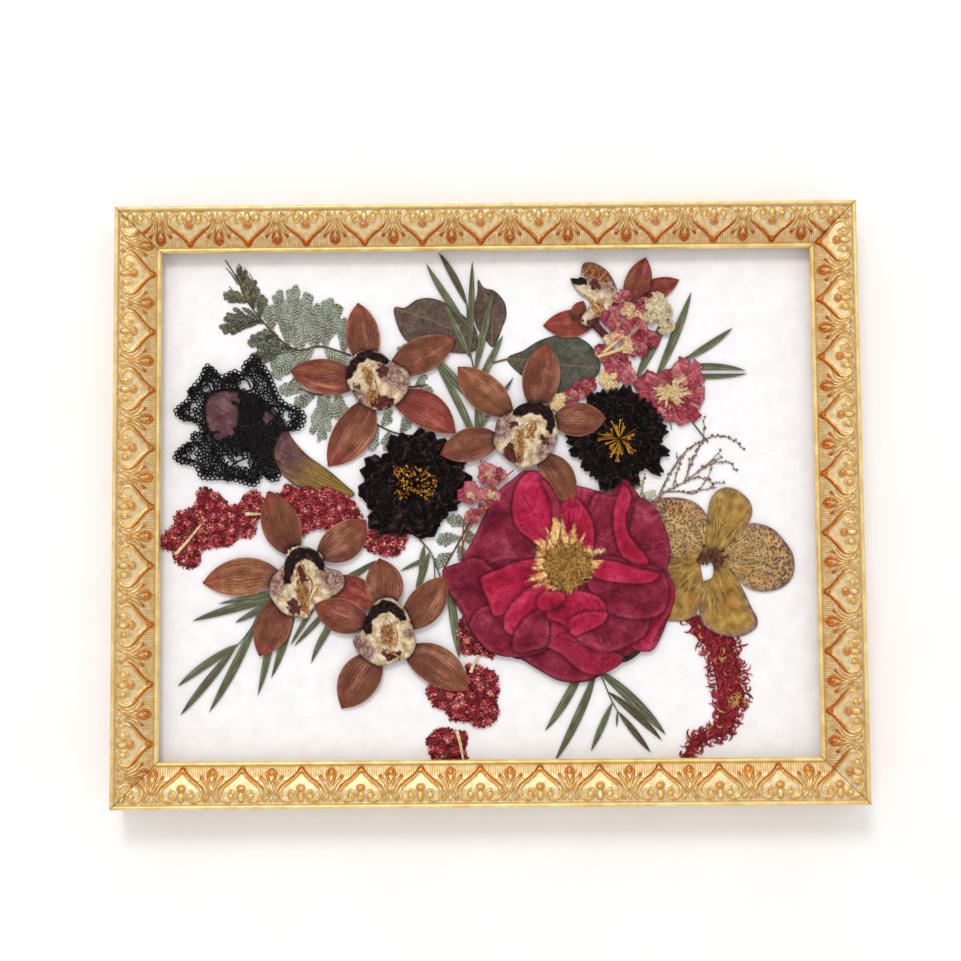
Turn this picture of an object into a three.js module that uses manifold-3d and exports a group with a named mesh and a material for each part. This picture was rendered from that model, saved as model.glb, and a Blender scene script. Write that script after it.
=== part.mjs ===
// A hanging pressed flower frame: a gilded, mitred picture moulding, picture glass, a white
// mount card with dried flowers, leaves, seed heads and a scrap of lace on it, and a back board.
// Millimetres. +X is to the viewer's right, +Z is up and the front faces -Y.
// The origin is the notch of the sawtooth hanger, at the middle of the top rail's back.
import * as THREE from 'three';
import { mergeVertices } from 'three/addons/utils/BufferGeometryUtils.js';
import Module from 'manifold-3d';

const wasm = await Module();
wasm.setup();

// ---- driving dimensions ----
const GLASS_W = 355.6;            // 11 x 14 inch picture size, laid wide
const GLASS_H = 279.4;
const SIGHT_W = 343;              // opening that shows the flowers
const SIGHT_H = 267;
const RAIL_W = 23.5;              // face width of the moulding
const RAIL_DEPTH = 25;            // back of the moulding to its outer, highest edge
const RABBET_DEPTH = 15;          // back of the moulding to the ledge that the glass meets
const RABBET_W = 6.8;
const MITRE_GAP = 0.3;
const GAP = 0.3;                  // clearance between pieces that touch
const GLASS_T = 2;
const CARD_T = 1.5;
const BOARD_T = 3;
const RAIL_BACK_Y = -2;           // the moulding's back plane, in front of the hanger's notch
const NOTCH_ABOVE_CENTRE = 145.5; // hanger notch above the middle of the picture
const LAYER_PITCH = 0.6;          // depth from one layer of specimens to the next
const PRESSED_T = 0.3;            // thickness of a pressed petal or leaf
const SPECIMEN_GAP = 4.2;         // room between the glass and the card

const HANGER_L = 44;
const HANGER_H = 9;
const HANGER_T = 0.8;
const HANGER_ARCH = 0.9;          // how far the hanger's middle stands off the wood
const NAIL_SPACING = 36;
const NAIL_R = 0.7;
const NAIL_L = 9;
const NAIL_HEAD_R = 1.9;
const NAIL_HEAD_T = 0.6;
const TAB_W = 9;
const TAB_L = 18;
const TAB_T = 0.4;
const TAB_IN_WOOD = 5;
const BUMPER_R = 5;
const BUMPER_T = 3;
const BUMPER_UP = 8.4;            // bumper's middle above the frame's lower edge
const BUMPER_IN = 26;             // and in from its side, clear of the mitre

// ---- depths, from the wall side to the viewer ----
const LEDGE_Y = RAIL_BACK_Y - RABBET_DEPTH;
const GLASS_BACK_Y = LEDGE_Y + GAP + GLASS_T;
const CARD_FRONT_Y = GLASS_BACK_Y + SPECIMEN_GAP;
const BOARD_FRONT_Y = CARD_FRONT_Y + CARD_T + GAP;
const TAB_Y = BOARD_FRONT_Y + BOARD_T + GAP;

// ---- materials ----
function finish(color, roughness, metalness = 0) {
  return new THREE.MeshStandardMaterial({ color, roughness, metalness });
}

const FINISHES = {
  gilt: () => finish(0xd9b066, 0.4, 0.6),
  glass: () => finish(0xf2f7f5, 0.05),
  card: () => finish(0xf4f2f3, 0.9),
  board: () => finish(0x8a6a48, 0.85),
  steel: () => finish(0xb9b9b4, 0.4, 0.9),
  rubber: () => finish(0x5a534c, 0.8),
  orchid: () => finish(0x8a3f2a, 0.75),
  rose: () => finish(0x9c1f3c, 0.7),
  dark_petal: () => finish(0x17110f, 0.85),
  vanda: () => finish(0xa08a45, 0.75),
  calla: () => finish(0x5c3b35, 0.75),
  lace: () => finish(0x0b0b0d, 0.9),
  celosia: () => finish(0xa3263a, 0.85),
  amaranth: () => finish(0x8f2430, 0.85),
  silver_leaf: () => finish(0x9aa593, 0.85),
  dark_leaf: () => finish(0x3b3733, 0.7),
  willow_leaf: () => finish(0x6f7350, 0.75),
  pink_floret: () => finish(0xb4485c, 0.8),
  cream_floret: () => finish(0xe2d3a0, 0.8),
  twig: () => finish(0x6d5a4a, 0.8),
};

// ---- solids: joining and cutting closed meshes ----
function toSolid(geometry) {
  const bare = geometry.clone();
  bare.deleteAttribute('normal');
  bare.deleteAttribute('uv');
  const merged = mergeVertices(bare, 1e-4);
  return new wasm.Manifold(new wasm.Mesh({
    numProp: 3,
    vertProperties: new Float32Array(merged.attributes.position.array),
    triVerts: new Uint32Array(merged.index.array),
  }));
}

function toGeometry(solid) {
  const mesh = solid.getMesh();
  const geometry = new THREE.BufferGeometry();
  geometry.setAttribute('position', new THREE.BufferAttribute(mesh.vertProperties, 3));
  geometry.setIndex(new THREE.BufferAttribute(mesh.triVerts, 1));
  geometry.computeVertexNormals();
  return geometry;
}

function joined(geometries) {
  let whole = toSolid(geometries[0]);
  for (const next of geometries.slice(1)) whole = whole.add(toSolid(next));
  return toGeometry(whole);
}

function cutBy(geometry, cutters) {
  let rest = toSolid(geometry);
  for (const cutter of cutters) rest = rest.subtract(toSolid(cutter));
  return toGeometry(rest);
}

// ---- outlines in the picture plane: [x, z] pairs from the middle of the picture ----
const CURVE_STEPS = 5;
const BEZIER_FULLNESS = 2 / 3;    // handle offset that gives a cubic the asked width

function toShape(points) {
  return new THREE.Shape(points.map(([x, z]) => new THREE.Vector2(x, z)));
}

// A leaf or tepal: two curved sides from base to tip; bow bends its midrib sideways.
function bladeShape(base, tip, width, bow = 0, steps = CURVE_STEPS) {
  const b = new THREE.Vector2(...base);
  const t = new THREE.Vector2(...tip);
  const along = t.clone().sub(b);
  const across = new THREE.Vector2(-along.y, along.x).normalize();
  const side = (sign) => new THREE.CubicBezierCurve(
    b,
    b.clone().addScaledVector(along, 0.22).addScaledVector(across, BEZIER_FULLNESS * (sign * width + 2 * bow)),
    b.clone().addScaledVector(along, 0.75).addScaledVector(across, BEZIER_FULLNESS * (sign * width + 2 * bow)),
    t,
  ).getPoints(steps);
  return new THREE.Shape([...side(1), ...side(-1).reverse().slice(1, -1)]);
}

// A smooth closed outline through hand-picked points.
function blobShape(points, stepsPerPoint = 2) {
  const path = points.map(([x, z]) => new THREE.Vector3(x, z, 0));
  const curve = new THREE.CatmullRomCurve3(path, true, 'centripetal');
  const ring = curve.getPoints(points.length * stepsPerPoint).slice(0, -1);
  return toShape(ring.map((p) => [p.x, p.y]));
}

// A thin stalk of constant width along a bent line.
function stalkShape(points, width) {
  const left = [];
  const right = [];
  points.forEach(([x, z], i) => {
    const [ax, az] = points[Math.max(i - 1, 0)];
    const [bx, bz] = points[Math.min(i + 1, points.length - 1)];
    const length = Math.hypot(bx - ax, bz - az);
    const nx = (-(bz - az) / length) * (width / 2);
    const nz = ((bx - ax) / length) * (width / 2);
    left.push([x + nx, z + nz]);
    right.unshift([x - nx, z - nz]);
  });
  return toShape([...left, ...right]);
}

// The point of the stalks' middle lines that is nearest to a leaf's base.
function nearestOnStalks(stalks, [x, z]) {
  let best = [x, z];
  let bestDistance = Infinity;
  for (const points of stalks) {
    for (let i = 0; i + 1 < points.length; i += 1) {
      const [ax, az] = points[i];
      const [dx, dz] = [points[i + 1][0] - ax, points[i + 1][1] - az];
      const t = THREE.MathUtils.clamp(((x - ax) * dx + (z - az) * dz) / (dx * dx + dz * dz), 0, 1);
      const near = [ax + t * dx, az + t * dz];
      const distance = Math.hypot(x - near[0], z - near[1]);
      if (distance < bestDistance) [best, bestDistance] = [near, distance];
    }
  }
  return best;
}

// Stalks with leaves or lobes on them, each leaf grown from its stalk.
function sprayShapes(stalks, blades, stalkWidth, steps = CURVE_STEPS) {
  const leaves = blades.map(([base, tip, width, bow = 0]) => (
    bladeShape(nearestOnStalks(stalks, base), tip, width, bow, steps)));
  return [...stalks.map((points) => stalkShape(points, stalkWidth)), ...leaves];
}

// Extrudes an outline to a flat plate whose back is at depth y.
function plate(shape, thickness, y) {
  const geometry = new THREE.ExtrudeGeometry(shape, { depth: thickness, bevelEnabled: false, curveSegments: 8 });
  geometry.rotateX(Math.PI / 2);
  geometry.translate(0, y, 0);
  return geometry;
}

function pressed(shapes, layer) {
  const backY = CARD_FRONT_Y - GAP - layer * LAYER_PITCH;
  const plates = shapes.map((shape) => plate(shape, PRESSED_T, backY));
  return plates.length === 1 ? plates[0] : joined(plates);
}

// ---- the object ----
const object = new THREE.Group();
const picture = new THREE.Group();       // everything is placed from the middle of the picture
picture.position.z = -NOTCH_ABOVE_CENTRE;
object.add(picture);

function addPiece(name, geometry, finishName) {
  const mesh = new THREE.Mesh(geometry, FINISHES[finishName]());
  mesh.name = name;
  picture.add(mesh);
  return mesh;
}

// ---- frame rails ----
// Section: u runs from the outer edge in to the sight edge, v from the back to the front.
const SECTION = [
  [0, 0], [0, 23.4], [0.5, 24.6], [1.5, RAIL_DEPTH], [2.5, 24.6], [3, 23.6], [3.6, 23.1], [5, 23.3],
  [9, 22.9], [14, 21.4], [18, 19.2], [20.2, 17.9], [20.8, 18.4], [21.8, 19], [22.9, 18.7],
  [RAIL_W, 17.8], [RAIL_W, RABBET_DEPTH], [RAIL_W - RABBET_W, RABBET_DEPTH], [RAIL_W - RABBET_W, 0],
];
const OUTER_W = SIGHT_W + 2 * RAIL_W;
const OUTER_H = SIGHT_H + 2 * RAIL_W;

// One rail, laid along the top: its ends are sheared to 45 degrees.
function mitredRail(outerLength, outerHalfAcross) {
  const section = new THREE.Shape(SECTION.map(([u, v]) => new THREE.Vector2(u, v)));
  const geometry = new THREE.ExtrudeGeometry(section, { depth: 1, bevelEnabled: false });
  const position = geometry.attributes.position;
  for (let i = 0; i < position.count; i += 1) {
    const u = position.getX(i);
    const v = position.getY(i);
    const end = position.getZ(i) < 0.5 ? 1 : -1;
    const along = end * (outerLength / 2 - u - MITRE_GAP * Math.SQRT1_2);
    position.setXYZ(i, along, RAIL_BACK_Y - v, outerHalfAcross - u);
  }
  return geometry;
}

function box(w, d, h, x, y, z) {
  return new THREE.BoxGeometry(w, d, h).translate(x, y, z);
}

// Flat steel points: driven into the rabbet wall and lying over the back board.
function tabPlaces() {
  const wallX = SIGHT_W / 2 + RABBET_W;
  const wallZ = SIGHT_H / 2 + RABBET_W;
  const places = [];
  for (const side of [-1, 1]) {
    for (const x of [-95, 95]) places.push({ along: 'z', x, wall: side * wallZ, side });
    places.push({ along: 'x', z: 0, wall: side * wallX, side });
  }
  return places;
}

function tabBox(place, grow) {
  const middle = place.wall + place.side * (TAB_IN_WOOD - TAB_L / 2);
  const y = TAB_Y + TAB_T / 2;
  const w = TAB_W + 2 * grow;
  const l = TAB_L + 2 * grow;
  const t = TAB_T + 2 * grow;
  return place.along === 'z' ? box(w, t, l, place.x, y, middle) : box(l, t, w, middle, y, place.z);
}

function nailShank(x, radius, grow) {
  const length = NAIL_L + grow;
  const shank = new THREE.CylinderGeometry(radius, radius, length, 10);
  return shank.translate(x, RAIL_BACK_Y - NAIL_L / 2 - grow / 2, NOTCH_ABOVE_CENTRE + HANGER_H * 0.55);
}

function addRails() {
  const slots = tabPlaces().map((place) => ({ ...place, solid: tabBox(place, GAP) }));
  const slotsOn = (along, side) => slots.filter((s) => s.along === along && s.side === side).map((s) => s.solid);
  const nailHoles = [-1, 1].map((side) => nailShank((side * NAIL_SPACING) / 2, NAIL_R + GAP, 2 * GAP));
  const top = mitredRail(OUTER_W, OUTER_H / 2);
  const bottom = mitredRail(OUTER_W, OUTER_H / 2).rotateY(Math.PI);
  const left = mitredRail(OUTER_H, OUTER_W / 2).rotateY(-Math.PI / 2);
  const right = mitredRail(OUTER_H, OUTER_W / 2).rotateY(Math.PI / 2);
  addPiece('rail_top', cutBy(top, [...slotsOn('z', 1), ...nailHoles]), 'gilt');
  addPiece('rail_bottom', cutBy(bottom, slotsOn('z', -1)), 'gilt');
  addPiece('rail_left', cutBy(left, slotsOn('x', -1)), 'gilt');
  addPiece('rail_right', cutBy(right, slotsOn('x', 1)), 'gilt');
}

// ---- glass, card, back board and what holds them ----
function addPanels() {
  const panel = (w, h, t, backY) => box(w, t, h, 0, backY - t / 2, 0);
  addPiece('glass_pane', panel(GLASS_W, GLASS_H, GLASS_T, GLASS_BACK_Y), 'glass');
  addPiece('mount_card', panel(GLASS_W, GLASS_H, CARD_T, CARD_FRONT_Y + CARD_T), 'card');
  addPiece('back_board', panel(GLASS_W, GLASS_H, BOARD_T, BOARD_FRONT_Y + BOARD_T), 'board');
}

function addTabs() {
  tabPlaces().forEach((place, i) => addPiece(`tab_${i + 1}`, tabBox(place, 0), 'steel'));
}

// Sawtooth hanger: teeth along its lower edge, a raised middle and a nail hole at each end.
function hangerShape() {
  const teeth = 6;
  const pitch = (HANGER_L * 0.6) / teeth;
  const half = HANGER_L / 2;
  const outline = [[-half, HANGER_H * 0.8], [-half, 1.2], [-half + 2, 0.4]];
  for (let i = 0; i <= teeth; i += 1) {
    const x = (i - teeth / 2) * pitch;
    if (i > 0) outline.push([x - pitch / 2, -1.1]);
    outline.push([x, 0]);
  }
  outline.push([half - 2, 0.4], [half, 1.2], [half, HANGER_H * 0.8], [half - 3, HANGER_H], [-half + 3, HANGER_H]);
  const shape = toShape(outline.map(([x, z]) => [x, z + NOTCH_ABOVE_CENTRE]));
  for (const side of [-1, 1]) {
    const hole = new THREE.Path();
    const x = (side * NAIL_SPACING) / 2;
    hole.absarc(x, NOTCH_ABOVE_CENTRE + HANGER_H * 0.55, NAIL_R + GAP, 0, 2 * Math.PI, true);
    shape.holes.push(hole);
  }
  return shape;
}

function addHanger() {
  const geometry = plate(hangerShape(), HANGER_T, 0);
  const position = geometry.attributes.position;
  const flatY = HANGER_ARCH;        // the ends lie this much nearer the wood than the middle
  for (let i = 0; i < position.count; i += 1) {
    const x = Math.abs(position.getX(i));
    const rise = x < HANGER_L * 0.31 ? 0 : 1;
    position.setY(i, position.getY(i) - rise * flatY);
  }
  addPiece('hanger', geometry, 'steel');
  for (const [i, side] of [-1, 1].entries()) {
    const x = (side * NAIL_SPACING) / 2;
    const head = new THREE.CylinderGeometry(NAIL_HEAD_R, NAIL_HEAD_R, NAIL_HEAD_T, 14);
    head.translate(x, -HANGER_ARCH + GAP + NAIL_HEAD_T / 2, NOTCH_ABOVE_CENTRE + HANGER_H * 0.55);
    const shank = nailShank(x, NAIL_R, 0);
    const neck = new THREE.CylinderGeometry(NAIL_R, NAIL_R, 3, 10);
    neck.translate(x, -HANGER_ARCH + GAP - 1.4, NOTCH_ABOVE_CENTRE + HANGER_H * 0.55);
    addPiece(`hanger_nail_${i + 1}`, joined([head, neck, shank]), 'steel');
  }
}

function addBumpers() {
  const z = -OUTER_H / 2 + BUMPER_UP;
  for (const [i, side] of [-1, 1].entries()) {
    const profile = [[0, 0], [BUMPER_R, 0], [BUMPER_R, BUMPER_T * 0.6], [BUMPER_R * 0.8, BUMPER_T], [0, BUMPER_T]];
    const geometry = new THREE.LatheGeometry(profile.map(([r, h]) => new THREE.Vector2(r, h)), 16);
    geometry.translate(side * (OUTER_W / 2 - BUMPER_IN), RAIL_BACK_Y + GAP, z);
    addPiece(`bumper_${i + 1}`, geometry, 'rubber');
  }
}

// ---- cymbidium orchids: each tepal is [base, tip, width, bow] ----
const ORCHIDS = [
  {
    layer: 4,
    lip: [[-74, 66], [-72, 76], [-66, 81], [-56, 80], [-50, 75], [-42, 70], [-41, 62], [-46, 54], [-56, 49],
      [-66, 53], [-71, 59]],
    tepals: [
      [[-63, 72], [-68, 107], 18, 0], [[-66, 64], [-104, 71], 19, 0], [[-61, 56], [-84, 20], 21, 2],
      [[-52, 70], [-16.5, 87], 19, 0], [[-51, 57], [-16.5, 37], 19, 3],
    ],
  },
  {
    layer: 5,
    lip: [[4, 36], [6, 44], [13, 48], [19, 52], [28, 53], [34, 49], [37, 41], [37, 33], [32, 24], [24, 19],
      [17, 18], [9, 24], [4, 30]],
    tepals: [
      [[14, 46], [-15, 72], 19, 1], [[26, 48], [32, 84], 20, 0], [[34, 43], [63, 44], 18, 0],
      [[8, 34], [-24.5, 25.5], 18, -1], [[27, 26], [44.5, -1], 17, 2],
    ],
  },
  {
    layer: 4,
    lip: [[-115, -46], [-113, -38], [-107, -31], [-105, -23], [-97, -22], [-88, -26], [-85, -33], [-77, -36],
      [-76, -44], [-84, -50], [-92, -55], [-95, -60], [-106, -58], [-112, -52]],
    tepals: [
      [[-101, -28], [-115, 7], 20, 1], [[-90, -28], [-64, -9], 20, -2], [[-108, -37], [-150, -41], 20, -1],
      [[-108, -48], [-120, -79.5], 19, 1], [[-84, -41], [-58, -53], 18, 0],
    ],
  },
  {
    layer: 5,
    lip: [[-71, -72], [-66, -66], [-63, -58], [-58, -51], [-50, -50], [-43, -57], [-40, -64], [-38, -73],
      [-41, -80], [-48, -83], [-57, -85], [-66, -80]],
    tepals: [
      [[-52, -56], [-57, -29], 20, 0], [[-45, -66], [-22, -39], 19, -1], [[-45, -76], [-10.5, -98], 20, 2],
      [[-57, -78], [-77, -107], 21, -1], [[-62, -63], [-91, -53], 18, 1],
    ],
  },
  {
    layer: 2,
    lip: [[45, 119], [50, 119.5], [52, 127], [58, 127.5], [65, 123], [69, 116], [70, 110], [64, 100], [60, 96],
      [66, 88], [63, 86], [57, 92], [50, 96], [55, 104], [56, 108], [50, 111]],
    tepals: [
      [[75, 105], [85.5, 130], 13, 0], [[76, 107], [103, 118], 12, 0], [[60, 98], [30.5, 94], 15, 1],
      [[47, 97], [51.5, 107], 8, 0], [[62, 101], [80, 109], 8, 0],
    ],
  },
];

// ---- large flower heads ----
const ROSE = [
  [13, 12], [22, 17.5], [32, 13], [40, 9], [50, 8], [58, 5], [68, 3], [72, 11], [80, 3], [88, -3], [93, -15],
  [96, -28], [94, -36], [98, -47], [94, -61], [88, -70], [85, -78], [77, -78], [69, -85], [57, -92], [40, -94],
  [29, -90], [20, -83], [14, -80], [2, -79], [-8, -69], [-12, -58], [-15, -52], [-20, -48], [-24, -36],
  [-14, -31], [-8, -20], [-3, -9], [4, 3],
];
const DARK_FLOWER_1 = [
  [-50, 38], [-44, 40], [-38, 35], [-35, 42], [-30, 41], [-27, 37], [-18, 37], [-14, 30], [-5, 23], [-4, 16],
  [-9, 5], [-12, -2], [-14, -8], [-23, -15], [-26, -21], [-32, -23], [-37, -18], [-44, -16], [-52, -20],
  [-60, -21], [-64, -14], [-67, -3], [-72, 4], [-74, 11], [-69, 15], [-71, 22], [-65, 27], [-56, 27],
];
const DARK_FLOWER_2 = [
  [54, 57], [61, 60], [70, 62], [72, 66], [75, 61], [79, 62], [83, 57], [89, 52], [96, 47], [97, 38], [95, 31],
  [98.5, 24], [91, 20], [93, 15], [83, 13], [79, 8], [70, 5], [61, 6], [55, 9], [48, 15], [45, 24], [42, 31],
  [45, 42],
];
const VANDA_PETALS = [
  [[86, 0], [98, 2], [108, 0], [114, -5], [117, -12], [116, -22], [119, -31], [105, -31], [94, -27], [91, -12]],
  [[116, -6], [119, 3], [125, 7], [132, 5.5], [138, 0], [139.5, -6], [137, -12], [128, -24], [120, -33],
    [115, -24]],
  [[122, -32], [129, -20], [133, -14.5], [140, -12], [150, -15], [158, -24], [161, -31], [160, -40],
    [154, -46], [144, -48], [135, -45], [128, -37]],
  [[119, -30], [126, -35], [133, -45], [138, -56], [141, -62], [140, -67], [133, -71], [124, -71],
    [115, -67], [111, -60], [112, -44], [118, -40]],
  [[117, -27], [104, -29], [94, -31], [97, -45], [96, -55], [93, -62], [100, -63], [107, -61], [113, -52],
    [113, -42], [112, -33]],
];
const CALLA = [
  [-149, 57], [-140, 61], [-130, 60], [-118, 56], [-108, 45], [-103, 35], [-95, 26], [-84, 18], [-76, 11],
  [-70, 5], [-77, 3], [-88, 5], [-100, 9], [-110, 17], [-120, 24], [-131, 30], [-143, 33], [-149, 43],
];
const LACE_WRAP = [
  [-148, 74], [-141, 68], [-133, 71], [-129, 68], [-124, 79], [-116, 70], [-109, 55], [-98, 49], [-97, 44],
  [-100, 40], [-109, 39], [-114, 28], [-110, 15], [-114, 13], [-119, 17], [-123, 10.5], [-136, 14],
  [-150, 14.5], [-154, 21], [-165, 25], [-159, 32], [-152, 33], [-152, 43], [-165, 49], [-158, 56],
  [-156, 62], [-151, 68],
];

// ---- seed heads ----
const CELOSIAS = [
  { layer: 0, outline: [[-153, 8], [-147, 9], [-139, 4], [-136, 0], [-131, 1], [-128, 6], [-122, 8], [-118, 3],
    [-117, -5], [-121, -9], [-124, -17], [-131, -18], [-136, -22], [-150, -24], [-152, -31], [-158, -34],
    [-165, -30], [-167, -25], [-172, -23], [-173, -16], [-167, -11], [-165, -4], [-160, -2], [-155, 0]] },
  { layer: 2, outline: [[-117, 6], [-110, 6], [-106, 11], [-100, 8.5], [-95, 10], [-90, 8], [-85, 9.5], [-78, 6],
    [-72, 3], [-67, -3], [-67, -9], [-80, -13], [-92, -14], [-98, -17], [-103, -8], [-112, -2]] },
  { layer: 1, outline: [[-63, -14], [-67, -19], [-63, -25], [-53, -28], [-46, -26], [-42, -18], [-47, -13],
    [-56, -12]] },
  { layer: 0, outline: [[-13, -58], [-9, -60], [-8, -66], [-3, -73], [3, -78], [2, -82], [-6, -80], [-14, -80],
    [-16, -74], [-17, -66]] },
  { layer: 1, outline: [[-12, -84], [-3, -86], [4, -89], [5.5, -98], [4, -103], [5.5, -110], [2, -115],
    [-4, -118], [-12, -115], [-20, -114], [-23, -109], [-29, -107], [-33, -98], [-28, -94], [-18, -92],
    [-12, -89]] },
  { layer: 0, outline: [[-24, -117], [-18, -119], [-12, -120], [-12, -128], [-12.5, -137], [-28, -137],
    [-32, -129], [-33, -123], [-29, -119]] },
];
const TASSEL = [
  [100, -61], [112, -60], [124, -64], [132, -73], [131, -80], [134, -87], [133, -95], [136, -102],
  [131, -112], [128, -121], [122, -124], [112, -127], [104, -137], [98, -137], [103, -129], [105, -123],
  [113, -119], [119, -113], [118, -104], [117, -96], [115, -86], [114, -79], [109, -74], [106, -66],
];

// ---- silver foliage: a stalk and lobes, each lobe [base, tip, width] ----
const SILVER_LEAVES = [
  { stalk: [[-72, 79], [-88, 84], [-100, 82], [-110, 88], [-119, 98], [-128, 110], [-132, 120], [-139, 131]],
    lobes: [[[-120, 98], [-144, 95], 9], [[-118, 97], [-140, 103], 5], [[-127, 108], [-141, 113], 7],
      [[-128, 112], [-131, 129], 5], [[-124, 104], [-127, 123], 8], [[-120, 100], [-119, 113], 7],
      [[-114, 92], [-116, 107], 9], [[-106, 84], [-110, 117], 12], [[-100, 84], [-101, 120], 15],
      [[-92, 82], [-97, 107], 12], [[-86, 82], [-82, 112], 14], [[-76, 80], [-75, 101], 9],
      [[-100, 82], [-127, 80], 10], [[-112, 90], [-128, 86], 9], [[-96, 82], [-116, 68], 12],
      [[-92, 84], [-106, 70], 9], [[-86, 84], [-72, 72], 12]] },
  { stalk: [[-74, 62], [-88, 58], [-100, 62]],
    lobes: [[[-96, 62], [-111, 62], 9], [[-90, 60], [-103, 52], 9], [[-84, 60], [-90, 31], 9],
      [[-80, 62], [-76, 42], 9], [[-98, 61], [-103, 68], 5], [[-90, 57], [-82, 44], 8]] },
  { stalk: [[-62, 44], [-50, 38], [-40, 36]],
    lobes: [[[-58, 42], [-62, 27], 8], [[-52, 39], [-52, 26], 8], [[-46, 38], [-40, 47], 8],
      [[-56, 40], [-50, 50], 8]] },
  { stalk: [[-48, 62], [-40, 62], [-31, 63]],
    lobes: [[[-46, 62], [-43, 87], 6], [[-38, 62], [-31, 68], 5], [[-36, 62], [-28, 58], 5],
      [[-46, 62], [-52, 74], 6]] },
  { stalk: [[-8, -8], [-16, -22], [-24, -36]],
    lobes: [[[-10, -12], [-22, -8], 7], [[-14, -18], [-28, -20], 7], [[-18, -26], [-29, -34], 6],
      [[-16, -22], [-8, -34], 7], [[-11, -14], [-5, -24], 6]] },
];

// ---- dark rounded leaves ----
const DARK_LEAVES = [
  { layer: 1, shapes: [blobShape([[-49, 104], [-43, 104.5], [-37, 108.5], [-30, 109.5], [-22, 107], [-12, 100],
    [-5, 92], [-6, 81], [-18, 80], [-30, 83], [-40, 85], [-46, 92]])] },
  { layer: 0, shapes: [blobShape([[-4, 119.5], [-1, 115], [5, 113], [10, 107], [11, 100], [9, 94], [4, 83],
    [-1, 88], [-5.5, 95], [-6, 105], [-4.5, 112]])] },
  { layer: 0, shapes: [blobShape([[11, 76], [20, 81], [28, 86], [38, 89], [47, 88.5], [55, 84], [60, 76],
    [60, 69], [53, 62], [44, 58.5], [34, 58], [23, 64]]), stalkShape([[1, 73.5], [8, 75.6], [14, 76.5]], 1.4)] },
];

// ---- narrow leaves on thin stalks: stalks are point lists, blades [base, tip, width, bow] ----
const WILLOW_SPRAYS = {
  top: { layer: 2,
    stalks: [[[-10, 106], [-9, 84], [-6, 66], [-5, 40], [-3, 21]]],
    blades: [[[-10, 94], [-31.5, 128], 5, 1], [[-10, 105], [-25, 136], 5, -1], [[-9.5, 80], [-7, 129], 4.5, 0],
      [[-7.5, 68], [4, 113.5], 5.5, 0], [[-5, 60], [9, 89], 5, 0], [[-9, 76], [-22.5, 107], 5, 0],
      [[-5, 52], [-27, 78], 6, 0], [[-6, 24], [-28, 76], 5.5, -2], [[-5, 38], [14.5, 66.5], 4, 0],
      [[-4.5, 24], [-5, 56], 6, 0]] },
  right: { layer: 1,
    stalks: [[[117, 31], [108, 43], [98, 58], [90, 62], [84, 58]], [[98, 58], [97, 69], [107, 77]],
      [[90, 62], [88, 69], [78, 64.5]]],
    blades: [[[88, 64], [109.5, 111.5], 6, -1], [[80, 64], [98.5, 102], 7, 0], [[104, 75], [131, 92], 5, -1],
      [[97, 69], [137.5, 69], 5, 2.4], [[97, 68], [138.5, 67.5], 4, -1.5]] },
  lower_left: { layer: 1,
    stalks: [[[-70, -55], [-98, -44], [-118, -54], [-124, -64], [-131, -73], [-139, -80]]],
    blades: [[[-97, -43], [-132, -28], 4, -2], [[-98, -43], [-142, -52], 4, 0], [[-108, -47], [-155.5, -61], 6, -1],
      [[-112, -50], [-133, -62], 4.5, 0], [[-131, -73], [-163, -95], 5.5, -1], [[-132, -74], [-161.5, -110], 5.5, 0],
      [[-121, -60], [-146.5, -108.5], 6, 1], [[-112, -50], [-121, -100], 5.5, 1], [[-100, -45], [-114, -91], 6, 1],
      [[-88, -48], [-104, -74], 3.5, 0], [[-80, -51], [-102, -74.5], 4, 0], [[-74, -53], [-93, -83.5], 5, -2]] },
  mid_left: { layer: 0,
    stalks: [[[-78, -43], [-60, -31]]],
    blades: [[[-69, -23], [-79, -42], 4.5, 0], [[-69, -23], [-59, -41], 4.5, 0], [[-79, -43], [-59, -30], 4.5, 0]] },
  mid: { layer: 1,
    stalks: [[[-36, -19], [-29, -28], [-28, -42]], [[-29, -28], [-24, -42]]],
    blades: [[[-30, -25], [-38, -47], 5, 0], [[-30, -28], [-46, -35.5], 3, 0], [[-33, -22], [-36, -38], 4, 0]] },
  low_mid: { layer: 1, stalks: [[[-22, -34], [-20.5, -43]]], blades: [[[-21, -40], [-15.5, -81.5], 6, 0]] },
  lower_right: { layer: 1,
    stalks: [[[50, -80], [58, -90], [64, -104], [68, -111]]],
    blades: [[[58, -86], [92, -122], 7, 1.5], [[63, -99], [90, -125], 5, 1], [[67, -110], [84, -131], 4.5, 0],
      [[64.5, -105], [53, -130], 4.5, 0], [[56, -88], [34, -135], 6, 1.5], [[51, -82], [29, -119.5], 6, 1.5],
      [[67, -109], [66.5, -118], 1.6, 0]] },
};

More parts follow.
